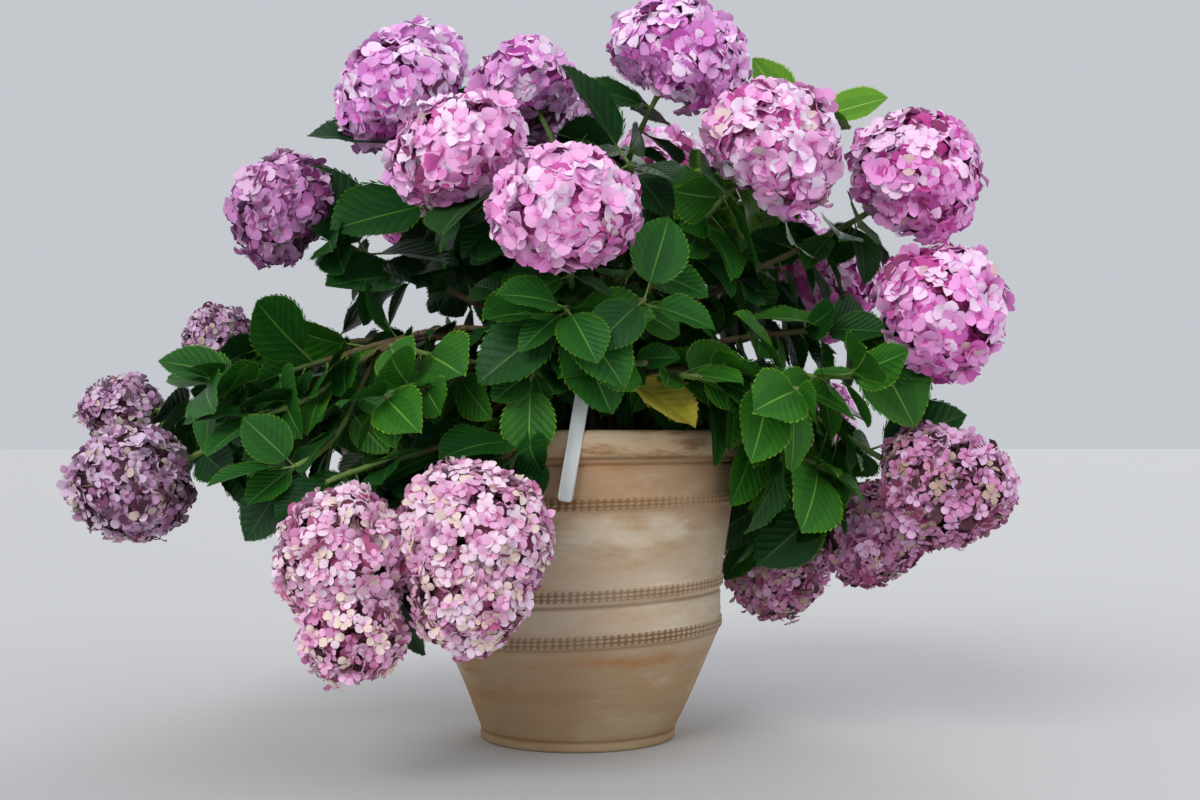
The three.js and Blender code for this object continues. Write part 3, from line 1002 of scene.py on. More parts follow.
PLAN: dict[str, tuple[Side, Tint, Green, tuple[Shoot, ...]]] = {
    "front_middle": (Side.FRONT, Tint.PINK, Green.DARK,
        (Shoot(268, 262, 615, 162, 132, 2.4), Shoot(228, 204, 703, 160, 112))),
    "top_left": (Side.TOP, Tint.ORCHID, Green.DARK,
        (Shoot(186, 222, 792, 160, 124), Shoot(152, 242, 858, 132, 100))),
    "top_middle": (Side.TOP, Tint.ORCHID, Green.DEEP,
        (Shoot(137, 92, 818, 138, 124), Shoot(298, 135, 694, 0, 0, 0.5, 255))),
    "top_right": (Side.TOP, Tint.ORCHID, Green.DARK, (Shoot(334, 139, 831, 172, 122),)),
    "upper_right": (Side.RIGHT, Tint.PINK, Green.MIDDLE, (Shoot(330, 262, 709, 166, 138),)),
    "sky_leaves": (Side.TOP, Tint.PINK, Green.BRIGHT, (Shoot(356, 290, 764, 0, 0, 0.4), Shoot(20, 250, 690))),
    "middle_leaves": (Side.FRONT, Tint.PINK, Green.MIDDLE,
        (Shoot(236, 150, 540), Shoot(292, 176, 566), Shoot(268, 250, 515),
         Shoot(288, 250, 525))),
    "far_upper_right": (Side.RIGHT, Tint.ROSE, Green.DARK, (Shoot(352, 412, 682, 164, 148),)),
    "right": (Side.RIGHT, Tint.ROSE, Green.MIDDLE, (Shoot(345, 438, 520, 160, 150),)),
    "back_right": (Side.BACK, Tint.ROSE, Green.DARK, (Shoot(22, 350, 572, 146, 138),)),
    "right_low": (Side.RIGHT, Tint.DUSTY, Green.MIDDLE,
        (Shoot(349, 434, 314, 148, 162), Shoot(8, 370, 246, 130, 124),
         Shoot(30, 296, 206, 144, 134))),
    "left_high": (Side.LEFT, Tint.MAUVE, Green.DARK, (Shoot(182, 362, 652, 142, 122),)),
    "left_far": (Side.LEFT, Tint.LILAC, Green.DARK,
        (Shoot(189, 530, 318, 136, 154), Shoot(171, 596, 400, 104, 106))),
    "left_back": (Side.LEFT, Tint.LILAC, Green.DARK, (Shoot(157, 540, 505, 96, 92),)),
    "left_side": (Side.LEFT, Tint.PINK, Green.MIDDLE,
        (Shoot(196, 450, 434), Shoot(207, 404, 398), Shoot(218, 392, 340))),
    "left_front": (Side.LEFT, Tint.PINK, Green.FRESH, (Shoot(230, 325, 416), Shoot(214, 262, 478))),
    "front_left_low": (Side.FRONT, Tint.FADED, Green.DARK, (Shoot(230, 322, 280), Shoot(222, 368, 322))),
    "front_low": (Side.FRONT, Tint.FADED, Green.DARK,
        (Shoot(252, 338, 261, 170, 126), Shoot(252, 350, 207, 128, 112),
         Shoot(232, 392, 245, 154, 134), Shoot(235, 400, 174, 118, 108))),
    "front_rim": (Side.FRONT, Tint.PINK, Green.MIDDLE,
        (Shoot(256, 208, 440, 0, 0, -0.8), Shoot(291, 222, 456))),
    "right_rim": (Side.RIGHT, Tint.PINK, Green.FRESH,
        (Shoot(304, 250, 440), Shoot(322, 322, 426), Shoot(335, 352, 442))),
    "right_under": (Side.RIGHT, Tint.PINK, Green.FRESH, (Shoot(342, 302, 340),)),
    "back_left_high": (Side.BACK, Tint.ORCHID, Green.DARK,
        (Shoot(128, 330, 690, 160, 130), Shoot(100, 250, 800, 146, 116))),
    "back_middle": (Side.BACK, Tint.PINK, Green.MIDDLE,
        (Shoot(84, 400, 560, 162, 136), Shoot(68, 300, 735, 154, 124))),
    "back_right_high": (Side.BACK, Tint.ORCHID, Green.MIDDLE, (Shoot(46, 370, 650, 158, 130),)),
    "back_right_low": (Side.BACK, Tint.ROSE, Green.DARK,
        (Shoot(42, 420, 380, 156, 148), Shoot(58, 410, 262, 124, 110))),
    "back_low": (Side.BACK, Tint.FADED, Green.DARK, (Shoot(92, 430, 330, 158, 142),)),
    "back_left_low": (Side.BACK, Tint.LILAC, Green.MIDDLE,
        (Shoot(128, 450, 380, 156, 142), Shoot(146, 420, 262, 120, 108))),
}


class Arch:
    """A cubic Bezier curve from a start to a tip, each with its way, read by shares of its length."""

    TIP_PULL = 0.38
    STEPS = 200

    def __init__(self, start: Array, start_way: Array, tip: Array, tip_way: Array, pull: float) -> None:
        """Sets the four holds, and measures the curve in as many steps as the source does.

        Args:
            start: the curve's first place.
            start_way: the unit vector by which it leaves it.
            tip: the curve's last place.
            tip_way: the unit vector by which it comes to it.
            pull: the first hold's distance, as a share of the chord.
        """
        far = np.linalg.norm(tip - start)
        holds = [start, start + start_way * pull * far, tip - tip_way * self.TIP_PULL * far, tip]
        self.holds = np.array(holds)
        self.times = np.linspace(0, 1, self.STEPS + 1)
        moves = np.linalg.norm(np.diff(self.read(self.times), axis=0), axis=1)
        self.lengths = np.concatenate([[0], np.cumsum(moves)])
        self.length = float(self.lengths[-1])

    def read(self, t: Array) -> Array:
        """The Bezier sum (1-t)^3 a + 3(1-t)^2 t b + 3(1-t) t^2 c + t^3 d.

        Args:
            t: the curve's parameter, from 0 to 1.

        Returns:
            Places, of the shape of t with 3 more.
        """
        t = np.asarray(t, float)[..., None]
        s = 1 - t
        a, b, c, d = self.holds
        return s**3 * a + 3 * s * s * t * b + 3 * s * t * t * c + t**3 * d

    def _time(self, shares: Array | float) -> Array:
        """The curve's parameter at shares of its length."""
        return np.interp(np.asarray(shares, float) * self.length, self.lengths, self.times)

    def at(self, shares: Array | float) -> Array:
        """The places at shares of the length."""
        return self.read(self._time(shares))

    def way(self, shares: Array | float) -> Array:
        """The unit tangents at shares of the length."""
        t = self._time(shares)
        return unit(self.read(np.minimum(t + 1e-4, 1)) - self.read(np.maximum(t - 1e-4, 0)))

    def normal(self) -> Array:
        """A unit vector square to the curve's chord, by which a round limb's rings are turned."""
        return unit(np.cross(UP, self.holds[3] - self.holds[0]) + [1e-6, 0, 0])


@dataclass
class Limb:
    """A share of an arch that carries leaves: a cane, its leader or another shoot."""

    curve: Arch
    start: float
    end: float


@dataclass
class Plant:
    """One mass of the plan as it grows: its cane and its shoots' limbs."""

    mass: str
    order: int
    side: Side
    tint: Tint
    green: Green
    shoots: tuple[Shoot, ...]
    cane: Limb
    twigs: list[Limb]


@dataclass
class Rule:
    """The source's rule for the canes' feet and the arches, and the limbs on them that carry leaves."""

    filling: Filling
    outer_margin: float = 14
    innermost: float = 12
    edge: float = 12
    lowest: float = 280
    height_span: float = 520
    apart: float = 15.5
    rounds: int = 200
    share: float = 0.43
    fork: float = 0.5
    low_pull: float = 0.62
    high_pull: float = 0.4
    fork_pull: float = 0.35
    low_above_rim: float = 120

    def feet(self) -> Array:
        """The canes' feet on the stool, pushed apart until none stands too near another.

        Returns:
            Level places of shape (canes, 2).
        """
        feet = []
        for _, _, _, shoots in PLAN.values():
            share = float(np.clip((shoots[0].height - self.lowest) / self.height_span, 0, 1))
            ring = mix(self.filling.stool_radius - self.outer_margin, self.innermost, share)
            feet.append([ring * value for value in level(shoots[0].azimuth)[:2]])
        limit = self.filling.stool_radius - self.edge
        for _ in range(self.rounds):
            for foot in feet:
                for other in feet:
                    dx, dy = foot[0] - other[0], foot[1] - other[1]
                    far = math.hypot(dx, dy)
                    if other is not foot and far < self.apart:
                        push = (self.apart - far) / 2 / (far or 1)
                        foot[0] += dx * push
                        foot[1] += dy * push
                        other[0] -= dx * push
                        other[1] -= dy * push
                far = math.hypot(*foot)
                if far > limit:
                    foot[0] *= limit / far
                    foot[1] *= limit / far
        return np.array(feet)

    def grow(self) -> list[Plant]:
        """Every mass with its cane and limbs, in the plan's order.

        Returns:
            The masses.
        """
        pot, gap = self.filling.pot, self.filling.gap
        top = self.filling.top + 2 * gap + self.filling.stool_height
        middle = np.array([pot.lean * top / pot.height, 0, top])
        plants = []
        for order, ((mass, plan), foot) in enumerate(zip(PLAN.items(), self.feet())):
            shoots = plan[-1]
            start = np.array([*foot, 0]) + middle
            tip, way = shoots[0].tip()
            low = tip[2] < pot.height + self.low_above_rim
            whole = Arch(start, UP, tip, way, self.low_pull if low else self.high_pull)
            leader = Limb(whole, self.share + gap / whole.length, 1)
            fork = (whole.at(self.fork), whole.way(self.fork))
            others = [Limb(Arch(*fork, *shoot.tip(), self.fork_pull), 0, 1) for shoot in shoots[1:]]
            plants.append(Plant(mass, order, *plan, Limb(whole, 0, self.share), [leader, *others]))
        return plants


@dataclass
class LeafPlan:
    """The source's sizes of a leaf, and the spreads that it tries in order."""

    length: float = 114
    width: float = 0.32
    fold: float = 0.07
    droop: float = 0.26
    rise: float = 0.18
    lay: float = 0.35
    hang: float = 0.3
    outward: float = 1.2
    step: float = 42
    skirt: float = 0.42
    below: float = 16
    wide: float = 0.4
    shoulder: float = 0.74
    shoulder_width: float = 0.84
    spread: tuple[Place, ...] = (
        (0, 0, 1), (0.35, 0.1, 1), (-0.35, 0.1, 1), (0.1, 0.4, 0.95), (-0.1, -0.3, 0.95),
        (0.7, 0.2, 0.85), (-0.7, 0.2, 0.85), (0.2, 0.7, 0.75), (-0.2, -0.5, 0.75),
    )

    def laid(self, grow: Array, turn: float, lift: float, rise: float) -> Array:
        """A leaf's way: across the shoot, turned about it, laid over, drawn along it and hung.

        Args:
            grow: the shoot's own way.
            turn: the turn about it, in radians.
            lift: how much more than usual it is drawn along the shoot.
            rise: how much it is lifted up.

        Returns:
            A unit vector.
        """
        way = turned_about(unit(np.cross(grow, UP)), grow, turn)
        way = way * [1, 1, self.lay if way[2] > 0 else 1]
        return unit(way + grow * (self.rise + lift) + UP * (rise - self.hang))

    def ways(self, grow: Array, turn: float, seed: int) -> Array:
        """The ways that a leaf of the source's may take at its node."""
        rise = 0.1 * chance(seed)
        return np.array([self.laid(grow, turn + swing, lift, rise) for swing, lift, _ in self.spread])

    def face(self, root: Array) -> Array:
        """The way that a leaf's upper side looks: up and outwards."""
        return unit(unit(root * [1, 1, 0]) * self.outward + UP)

    def outline(self, root: Array, way: Array, face: Array, size: Array) -> Array:
        """The five outer corners of the source's blade.

        Args:
            root: the leaf's place on its twig.
            way: the way from root to tip.
            face: the way that the blade faces.
            size: the leaf's length.

        Returns:
            Points of shape (5, 3), the tip third.
        """
        side = unit(np.cross(face, way))
        top = unit(np.cross(way, side))
        half, low = self.width, self.width * self.shoulder_width
        spots = ((self.wide, half, self.fold), (self.shoulder, low, self.fold), (1, 0, 0),
                 (self.shoulder, -low, self.fold), (self.wide, -half, self.fold))
        return np.array([root + way * a * size + side * c * size + top * (f - self.droop * a * a) * size
                         for a, c, f in spots])


@dataclass
class Leaf:
    """One leaf: its root, the way it points and faces, its length, green, stalk's share and sag."""

    root: Array
    way: Array
    face: Array
    size: float
    green: Green
    stalk: float
    sag: float


@dataclass
class BladeShape:
    """A leaf blade's form: a broad ellipse drawn out to a point, folded, drooping, waved, toothed."""

    rows: tuple[float, ...] = (0, 0.06, 0.17, 0.32, 0.48, 0.64, 0.79, 0.92, 1)
    width: float = 0.325
    tooth: float = 0.03
    columns: tuple[float, ...] = (1.0, 0.52, 0.03, -0.03, -0.52, -1.0)

    def half_width(self, t: Array) -> Array:
        """The half width as a share of its greatest: sin(pi t^0.85)^0.62, drawn in towards the tip."""
        rounded = np.sin(math.pi * np.clip(t, 0, 1) ** 0.85).clip(0, 1) ** 0.62
        return np.maximum(rounded * (1 - 0.24 * t**4), 0.02)

    def places(self, t: Array, v: Array, bed: dict[str, Array]) -> Array:
        """Points of every blade at shares t along it and v across it.

        along = stalk + (1 - stalk)(t + 0.04 |v| sin(pi t)); across = width v half_width(t);
        lift = fold |v|^1.3 half_width(t) - droop along^2 + wave v^2 sin(2 pi waves t + phase + sign v).
        Across and lift are then turned about the way by twist x along, lift drawing across 0.4 as much.

        Args:
            t: shares along, of shape (points,).
            v: shares across, of shape (points,).
            bed: the leaves' own arrays by name: their places, ways, sizes and bends.

        Returns:
            Points of shape (leaves, points, 3).
        """
        def own(name: str) -> Array:
            """A leaf's own value, as a column."""
            return bed[name][:, None]

        half = self.half_width(t)
        along = own("stalk") + (1 - own("stalk")) * (t + 0.04 * np.abs(v) * np.sin(math.pi * t))
        across = own("width") * v * half
        lift = own("fold") * np.abs(v) ** 1.3 * half - own("droop") * along**2
        phase = own("waves") * TURN * t + own("phase") + np.sign(v)
        lift = lift + own("wave") * np.abs(v) ** 2 * np.sin(phase)
        turn = own("twist") * along
        across, lift = across * np.cos(turn) - lift * np.sin(turn) * 0.4, lift + across * np.sin(turn)
        size = own("size")[..., None]
        return (bed["root"][:, None] + size * (along[..., None] * bed["way"][:, None]
                + across[..., None] * bed["side"][:, None] + lift[..., None] * bed["top"][:, None]))

    def add_to(
        self, piece: Piece, leaves: list[Leaf], palette: Palette, rng: Draws
    ) -> dict[str, Array]:
        """Adds all of the blades to a piece.

        Args:
            piece: the piece that they join.
            leaves: the leaves.
            palette: where their greens are.
            rng: draws each leaf's own bend.

        Returns:
            The leaves' own arrays, from which their stalks are made.
        """
        count = len(leaves)
        names = ("root", "way", "face", "size", "stalk", "sag")
        bed = {name: np.array([getattr(leaf, name) for leaf in leaves]) for name in names}
        side = unit(np.cross(bed["face"], bed["way"]))
        bed |= {
            "side": side, "top": unit(np.cross(bed["way"], side)),
            "fold": rng.uniform(0.03, 0.1, count), "droop": rng.uniform(0.2, 0.32, count) * bed["sag"],
            "width": self.width * rng.uniform(0.9, 1.04, count), "wave": rng.uniform(0.004, 0.018, count),
            "waves": rng.uniform(1.6, 3.0, count), "phase": rng.uniform(0, 6.28, count),
            "twist": rng.normal(0, 0.1, count),
        }
        t, v = (grid.ravel() for grid in np.meshgrid(self.rows, self.columns, indexing="ij"))
        points = np.concatenate([self.places(t, v, bed), *self._teeth(bed)], 1)
        per_leaf, inner = points.shape[1], len(t)
        quads = grid_faces(len(self.rows), len(self.columns))
        strip = np.tile([OUTER, INNER, MIDRIB, INNER, OUTER], len(self.rows) - 1)
        triangles = inner + np.arange(per_leaf - inner).reshape(-1, 3)
        first = np.array([palette.number(leaf.green) for leaf in leaves])
        chart = np.stack([t, 0.5 + 0.5 * v * self.half_width(t)], -1)
        chart = np.concatenate([chart, np.full((per_leaf - inner, 2), 0.5)])
        piece.add(points, [
            (repeated(quads, per_leaf, count), (first[:, None] + strip).ravel()),
            (repeated(triangles, per_leaf, count), np.repeat(first + EDGE, len(triangles))),
        ], np.tile(chart, (count, 1)))
        return bed

    def _teeth(self, bed: dict[str, Array]) -> list[Array]:
        """Two teeth on each stretch of both margins, small triangles that point forward and outward.

        Args:
            bed: the leaves' own arrays, as for places.

        Returns:
            Each margin's corners, three by three, of shape (leaves, corners, 3).
        """
        rows = np.array(self.rows)
        half_step = np.repeat(np.diff(rows), 2) / 2
        start = np.repeat(rows[:-1], 2) + np.tile([0, 1], len(rows) - 1) * half_step
        end = start + half_step
        peak = np.clip(end + 0.012, 0, 1.02)
        reach = 1 + self.tooth / (self.width * np.maximum(self.half_width(start), 0.2))
        teeth = []
        for sign in (1.0, -1.0):
            first, last = (self.places(at, np.full(len(at), sign), bed) for at in (start, end))
            tip = self.places(peak, sign * reach, bed)
            corners = [first, tip, last] if sign > 0 else [first, last, tip]
            teeth.append(np.stack(corners, 2).reshape(len(tip), -1, 3))
        return teeth


def tube(path: Array, radius: Array, normal: Array, sides: int) -> Array:
    """A round limb along a path: each ring stands on a vector across the path and the given normal.

    point = path + radius (cos a across + sin a side), with side = normal made square to the path.

    Args:
        path: the middle line, of shape (rings, 3).
        radius: the radius of each ring, or of each point of it, of shape (rings, 1 or sides).
        normal: a vector that is nowhere along the path.
        sides: points in a ring.

    Returns:
        The points, ring by ring, with the middles of the two ends last.
    """
    way = unit(np.gradient(path, axis=0))
    side = unit(normal - way * (way @ normal)[:, None])
    across = np.cross(side, way)
    over = np.cross(way, across)
    angle = np.arange(sides) * TURN / sides
    cosine, sine = np.cos(angle)[None, :, None], np.sin(angle)[None, :, None]
    ring = cosine * across[:, None] + sine * over[:, None]
    points = path[:, None] + ring * np.broadcast_to(radius, (len(path), sides))[..., None]
    return np.concatenate([points.reshape(-1, 3), path[:1], path[-1:]])


def prongs(path: Array, radius: Array, first: Array, second: Array, start: float = 0.0) -> Array:
    """The points of many three-sided stalks.

    point = path + radius (cos a first + sin a second), at three angles a from start on.

    Args:
        path: each stalk's middle line, of shape (stalks, rings, 3).
        radius: the radius of each ring, of shape (rings,) or (stalks, rings).
        first: each stalk's first way across, of shape (stalks, 3).
        second: each stalk's second way across, of shape (stalks, 3).
        start: the first angle, in radians.

    Returns:
        Points of shape (stalks, rings, 3, 3).
    """
    angle = np.arange(3) * TURN / 3 + start
    ring = np.cos(angle)[:, None] * first[:, None] + np.sin(angle)[:, None] * second[:, None]
    return path[:, :, None] + radius[..., None, None] * ring[:, None]


@dataclass
class HeadShape:
    """A mophead: florets of four sepals on thin stalks over a squashed ball, with an inner layer coloured
    darker as painted shade.
    """

    crown: float = 0.58
    skirt: float = 0.42
    spacing: float = 19.0
    sepal: float = 17.4
    depth: float = 6.0
    inner_depth: float = 14.0
    inner_spacing: float = 22.0
    fineness: float = 1.0
    slimness: float = 1.0
    tumble: float = 0.34
    shaded: float = 0.25
    stem_clear: float = 0.9
    lean: float = 0.75
    outer_clear: float = 0.86
    inner_clear: float = 1.04
    hang: float = 3.5
    brightness: float = 0.55
    low_head: float = 220
    small_head: float = 120
    rows: tuple[tuple[float, float], ...] = ((0.28, 0.36), (0.62, 0.54), (0.89, 0.36))

    def frame_of(self, shoot: Shoot) -> tuple[Array, Array]:
        """The head's middle, and its axes as rows, the last along its lean.

        Args:
            shoot: the shoot that it ends.

        Returns:
            A place, and an array of three unit vectors.
        """
        tip, way = shoot.tip()
        lean = unit(mix(UP, way, self.lean))
        first = unit(np.cross(lean, [0.3, 0.9, 0.1]))
        return tip, np.array([first, np.cross(lean, first), lean])

    def spots(
        self, shoot: Shoot, inset: float, spacing: float, rng: Draws
    ) -> tuple[Array, Array]:
        """Evenly scattered places on the squashed ball, by the golden angle, with their outward ways.

        Args:
            shoot: the shoot whose head it is.
            inset: how far inside the head's outline the places lie.
            spacing: the usual distance between two places.
            rng: jitters them.

        Returns:
            Places and unit ways in the head's own frame.
        """
        half = shoot.width / 2 - inset
        up, down = shoot.tall * self.crown - inset, shoot.tall * self.skirt - inset
        area = 4 * math.pi * (((half * half) ** 1.6 + 2 * (half * (up + down) / 2) ** 1.6) / 3) ** (1 / 1.6)
        count = int(area / (0.87 * spacing * spacing))
        number = np.arange(count) + 0.5
        z = 1 - 2 * number / count
        turn = number * math.pi * (3 - math.sqrt(5)) + rng.uniform(0, 6.28)
        ball = np.stack([np.sqrt(1 - z * z) * np.cos(turn), np.sqrt(1 - z * z) * np.sin(turn), z], -1)
        ball = unit(ball + rng.normal(0, 0.22 * spacing / half, ball.shape))
        ball = ball[ball[:, 2] > -self.stem_clear]
        level_axis = np.full(len(ball), half)
        axes = np.stack([level_axis, level_axis, np.where(ball[:, 2] > 0, up, down)], -1)
        waves = rng.normal(0, 2.6, (3, 4))
        lumps = 1 + rng.normal(0, 0.02, len(ball))
        lumps = lumps + 0.026 * np.sin(ball @ waves + rng.uniform(0, 6, 4)).sum(1)
        return ball * axes * lumps[:, None], unit(ball / axes)

    def add_florets(
        self, piece: Piece, place: Array, way: Array, size: Array, numbers: Array, rng: Draws
    ) -> None:
        """Adds florets: each of four cupped sepals of eight faces, and an eye.

        In the floret's plane a sepal's point is at distance d and width h, at height
        rise d + cup d h^2 - bend d^2 as shares of its size, and opposite pairs lie over the others.

        Args:
            piece: the piece that they join.
            place: their middles.
            way: the ways that they face.
            size: their sepals' lengths.
            numbers: finish numbers of shape (florets, 3): the sepals', the outer sepals' and the eye's.
            rng: draws each floret's own cup and turn.
        """
        count = len(place)
        spin = rng.uniform(0, TURN, count)
        first = unit(np.cross(way, unit(rng.normal(0, 1, (count, 3)))))
        second = np.cross(way, first)
        d_rows = [(-0.04, 0.0)] + [(d, h) for d, w in self.rows for h in (w, 0.0, -w)] + [(1.0, 0.0)]
        d, h = np.array(d_rows).T * [[1], [self.slimness]]
        cup, bend = rng.uniform(-0.2, 0.9, (count, 1)), rng.uniform(0.0, 0.7, (count, 1))
        rise = rng.uniform(0.0, 0.5, (count, 1))

        def laid(x: Array, y: Array, z: Array) -> Array:
            """Places in the florets' own planes, with z along their ways."""
            flat = x[..., None] * first[:, None] + y[..., None] * second[:, None]
            return flat + z[..., None] * way[:, None]

        parts = []
        for k in range(4):
            own = size[:, None] * rng.uniform(0.86, 1.1, (count, 1))
            lift = own * (rise * d + cup * h * h * d * 2.4 - bend * d * d) + 0.5 * (-1) ** k
            angle = spin[:, None] + k * math.pi / 2 + rng.normal(0, 0.07, (count, 1))
            x = own * (np.cos(angle) * d - np.sin(angle) * h)
            y = own * (np.sin(angle) * d + np.cos(angle) * h)
            parts.append(laid(x, y, lift))
        angle = np.arange(4) * math.pi / 2 + math.pi / 4
        eye = np.stack([1.3 * np.cos(angle), 1.3 * np.sin(angle), 0.4 + 0 * angle], -1)
        parts.append(laid(*np.concatenate([eye, [[0, 0, 2.0]]]).T[:, None]))
        points = place[:, None] + np.concatenate(parts, 1)
        per_sepal = len(d)
        claw = np.array([[0, 2, 1], [0, 3, 2]])
        tip = np.array([[7, 8, 10], [8, 9, 10]])
        quads = np.array([[1, 2, 5, 4], [2, 3, 6, 5], [4, 5, 8, 7], [5, 6, 9, 8]])
        shift = (np.arange(4) * per_sepal)[:, None, None]
        claws, tips, quads = (
            (shape[None] + shift).reshape(-1, shape.shape[1]) for shape in (claw, tip, quads)
        )
        eyes = 4 * per_sepal + np.stack([np.full(4, 4), np.arange(4), (np.arange(4) + 1) % 4], -1)
        corners = points.shape[1]
        by_sepal = np.stack([numbers[:, 0], numbers[:, 1], numbers[:, 0], numbers[:, 1]], 1)
        # The claws, in each floret's sunken middle, take the next darker colour: painted shade.
        shaded_claws = by_sepal + (by_sepal < numbers[:, 2:])
        piece.add(points, [
            (repeated(claws, corners, count), np.repeat(shaded_claws, 2, axis=1).ravel()),
            (repeated(tips, corners, count), np.repeat(by_sepal, 2, axis=1).ravel()),
            (repeated(quads, corners, count), np.repeat(by_sepal, 4, axis=1).ravel()),
            (repeated(eyes, corners, count), np.repeat(numbers[:, 2], len(eyes))),
        ])

    def add_head(
        self, blossoms: Piece, stalks: Piece, plant: Plant, shoot: Shoot, palette: Palette,
        others: list[tuple[Array, Array, Array]], rng: Draws,
    ) -> None:
        """Adds one flower head: the outer florets, a layer under them coloured darker as painted shade, and
        their stalks.

        Args:
            blossoms: the piece of florets.
            stalks: the piece of twigs.
            plant: the mass that it belongs to.
            shoot: the shoot that it ends.
            palette: where the colours are.
            others: the middle, axes and half sizes of the other heads, whose insides are kept free.
            rng: draws the head's own scatter.
        """
        middle, axes = self.frame_of(shoot)
        first = palette.number(plant.tint)
        layers = ((self.depth, self.spacing * self.fineness, True),
                  (self.inner_depth, self.inner_spacing, False))
        for inset, spacing, outer in layers:
            local, ways = self.spots(shoot, inset, spacing, rng)
            place, way = middle + local @ axes, ways @ axes
            free = np.ones(len(place), bool)
            clear = self.outer_clear if outer else self.inner_clear
            for centre, turn, half in others:
                free &= np.linalg.norm((place - centre) @ turn.T / half, axis=1) > clear
            place, way = place[free], unit(way[free] + rng.normal(0, self.tumble, (free.sum(), 3)))
            count = len(place)
            if outer:
                # Florets on the underside hang out of the ball by their own weight.
                hang = smooth_step(-way[:, 2], 0.1, 0.9) * rng.exponential(self.hang, count).clip(0, 9)
                place = place - UP * hang[:, None]
            # Sepals that look up are paler and those beneath darker, as painted light and shade; patches
            # differ, and some have faded.
            patches = 0.13 * np.sin(way @ rng.normal(0, 3.2, (3, 4)) + rng.uniform(0, 6, 4)).sum(1)
            light = 0.4 * way[:, 2] + patches + rng.normal(0, 0.4, count) + self.brightness
            step = np.clip(np.round(1.3 - light), 0, DEEP).astype(int)
            neighbour = np.clip(step + rng.choice([-1, 0, 0, 0, 0, 0, 1], count), 0, DEEP)
            fading = FADING[plant.tint] * (2.0 if shoot.height < self.low_head else 1.2)
            step, neighbour = (
                np.where(rng.random(count) < fading, PAST, kind) for kind in (step, neighbour)
            )
            # The inner layer is painted shade: it takes only the deep or the darker shade colours.
            if not outer:
                step = neighbour = np.where(rng.random(count) < self.shaded, SHADE, DEEP)
            size = self.sepal * rng.uniform(0.82, 1.12, count) * (self.fineness if outer else 1.15)
            size = size * (0.9 if shoot.width < self.small_head else 1.0)
            numbers = np.stack([first + step, first + neighbour, np.full(count, first + EYE)], 1)
            self.add_florets(blossoms, place, way, size, numbers, rng)
            if outer:
                foot = middle - axes[2] * shoot.tall * self.skirt * 0.9
                near = np.broadcast_to(mix(foot, middle, 0.25), place.shape)
                across = unit(np.cross(place - foot, [0.2, 0.5, 0.84]))
                over = unit(np.cross(place - foot, across))
                path = np.stack([near, place - way * 0.5], 1)
                points = prongs(path, np.array([1.5, 0.8]), across, over)
                faces = repeated(grid_faces(2, 3, closed=True), 6, count)
                stalks.add(points, [(faces, palette.number(Stem.BLUSHED))])


@dataclass(frozen=True)
class Accent:
    """A leaf that stands out in the photograph: it grows from the limb nearest to a place, to its tip."""

    near: Place
    tip: Place
    face: Place
    side: Side
    green: Green
    stalk: float = 0.16


ACCENTS = (
    Accent((63, -119, 694), (-10, -135, 812), (1.0, -0.62, 0.55), Side.TOP, Green.DEEP),
    Accent((289, -20, 764), (378, -56, 790), (0.1, -0.75, 0.65), Side.TOP, Green.BRIGHT),
    Accent((270, -18, 757), (220, -44, 838), (0.3, -0.9, 0.3), Side.TOP, Green.BRIGHT),
    Accent((20, -150, 425), (140, -190, 391), (0.1, -0.4, 0.95), Side.FRONT, Green.YELLOWED, 0.4),
    Accent((-50, -202, 440), (-53, -222, 341), (-0.1, -1.0, 0.3), Side.FRONT, Green.FRESH),
    Accent((-17, -225, 478), (43, -236, 400), (0.1, -1.0, 0.5), Side.FRONT, Green.MIDDLE),
    Accent((-31, -225, 496), (-108, -242, 436), (-0.1, -1.0, 0.5), Side.FRONT, Green.DARK),
    Accent((-247, -12, 628), (-328, -50, 703), (-0.3, -0.8, 0.7), Side.LEFT, Green.DEEP),
    Accent((-190, -25, 715), (-330, -45, 752), (-0.2, -0.6, 0.8), Side.TOP, Green.DEEP),
    Accent((-169, -60, 630), (-294, -92, 632), (-0.1, -0.7, 0.8), Side.FRONT, Green.DARK),
    Accent((-200, -50, 580), (-298, -88, 562), (-0.2, -0.9, 0.6), Side.LEFT, Green.DARK),
    Accent((330, -70, 455), (425, -112, 452), (0.2, -0.9, 0.6), Side.RIGHT, Green.MIDDLE),
    Accent((350, -70, 450), (402, -124, 388), (0.2, -1.0, 0.4), Side.RIGHT, Green.FRESH),
    Accent((300, -60, 460), (362, -130, 500), (0.1, -0.9, 0.7), Side.RIGHT, Green.DARK),
    Accent((390, -75, 420), (462, -100, 402), (0.3, -0.8, 0.7), Side.RIGHT, Green.DARK),
    Accent((60, 60, 450), (74, 116, 362), (0.1, -0.7, 0.7), Side.BACK, Green.DEEP),
    Accent((110, 40, 440), (110, 94, 362), (0.1, -0.7, 0.7), Side.BACK, Green.DEEP),
    Accent((20, 60, 450), (30, 120, 392), (0.0, -0.7, 0.7), Side.BACK, Green.DEEP),
    Accent((-309, -241, 340), (-353, -284, 304), (-0.1, -0.9, 0.5), Side.LEFT, Green.MIDDLE),
    Accent((-309, -241, 340), (-366, -244, 259), (-0.3, -0.9, 0.3), Side.LEFT, Green.DEEP),
    Accent((-309, -241, 340), (-364, -250, 394), (0.0, -0.9, 0.5), Side.LEFT, Green.MIDDLE),
)


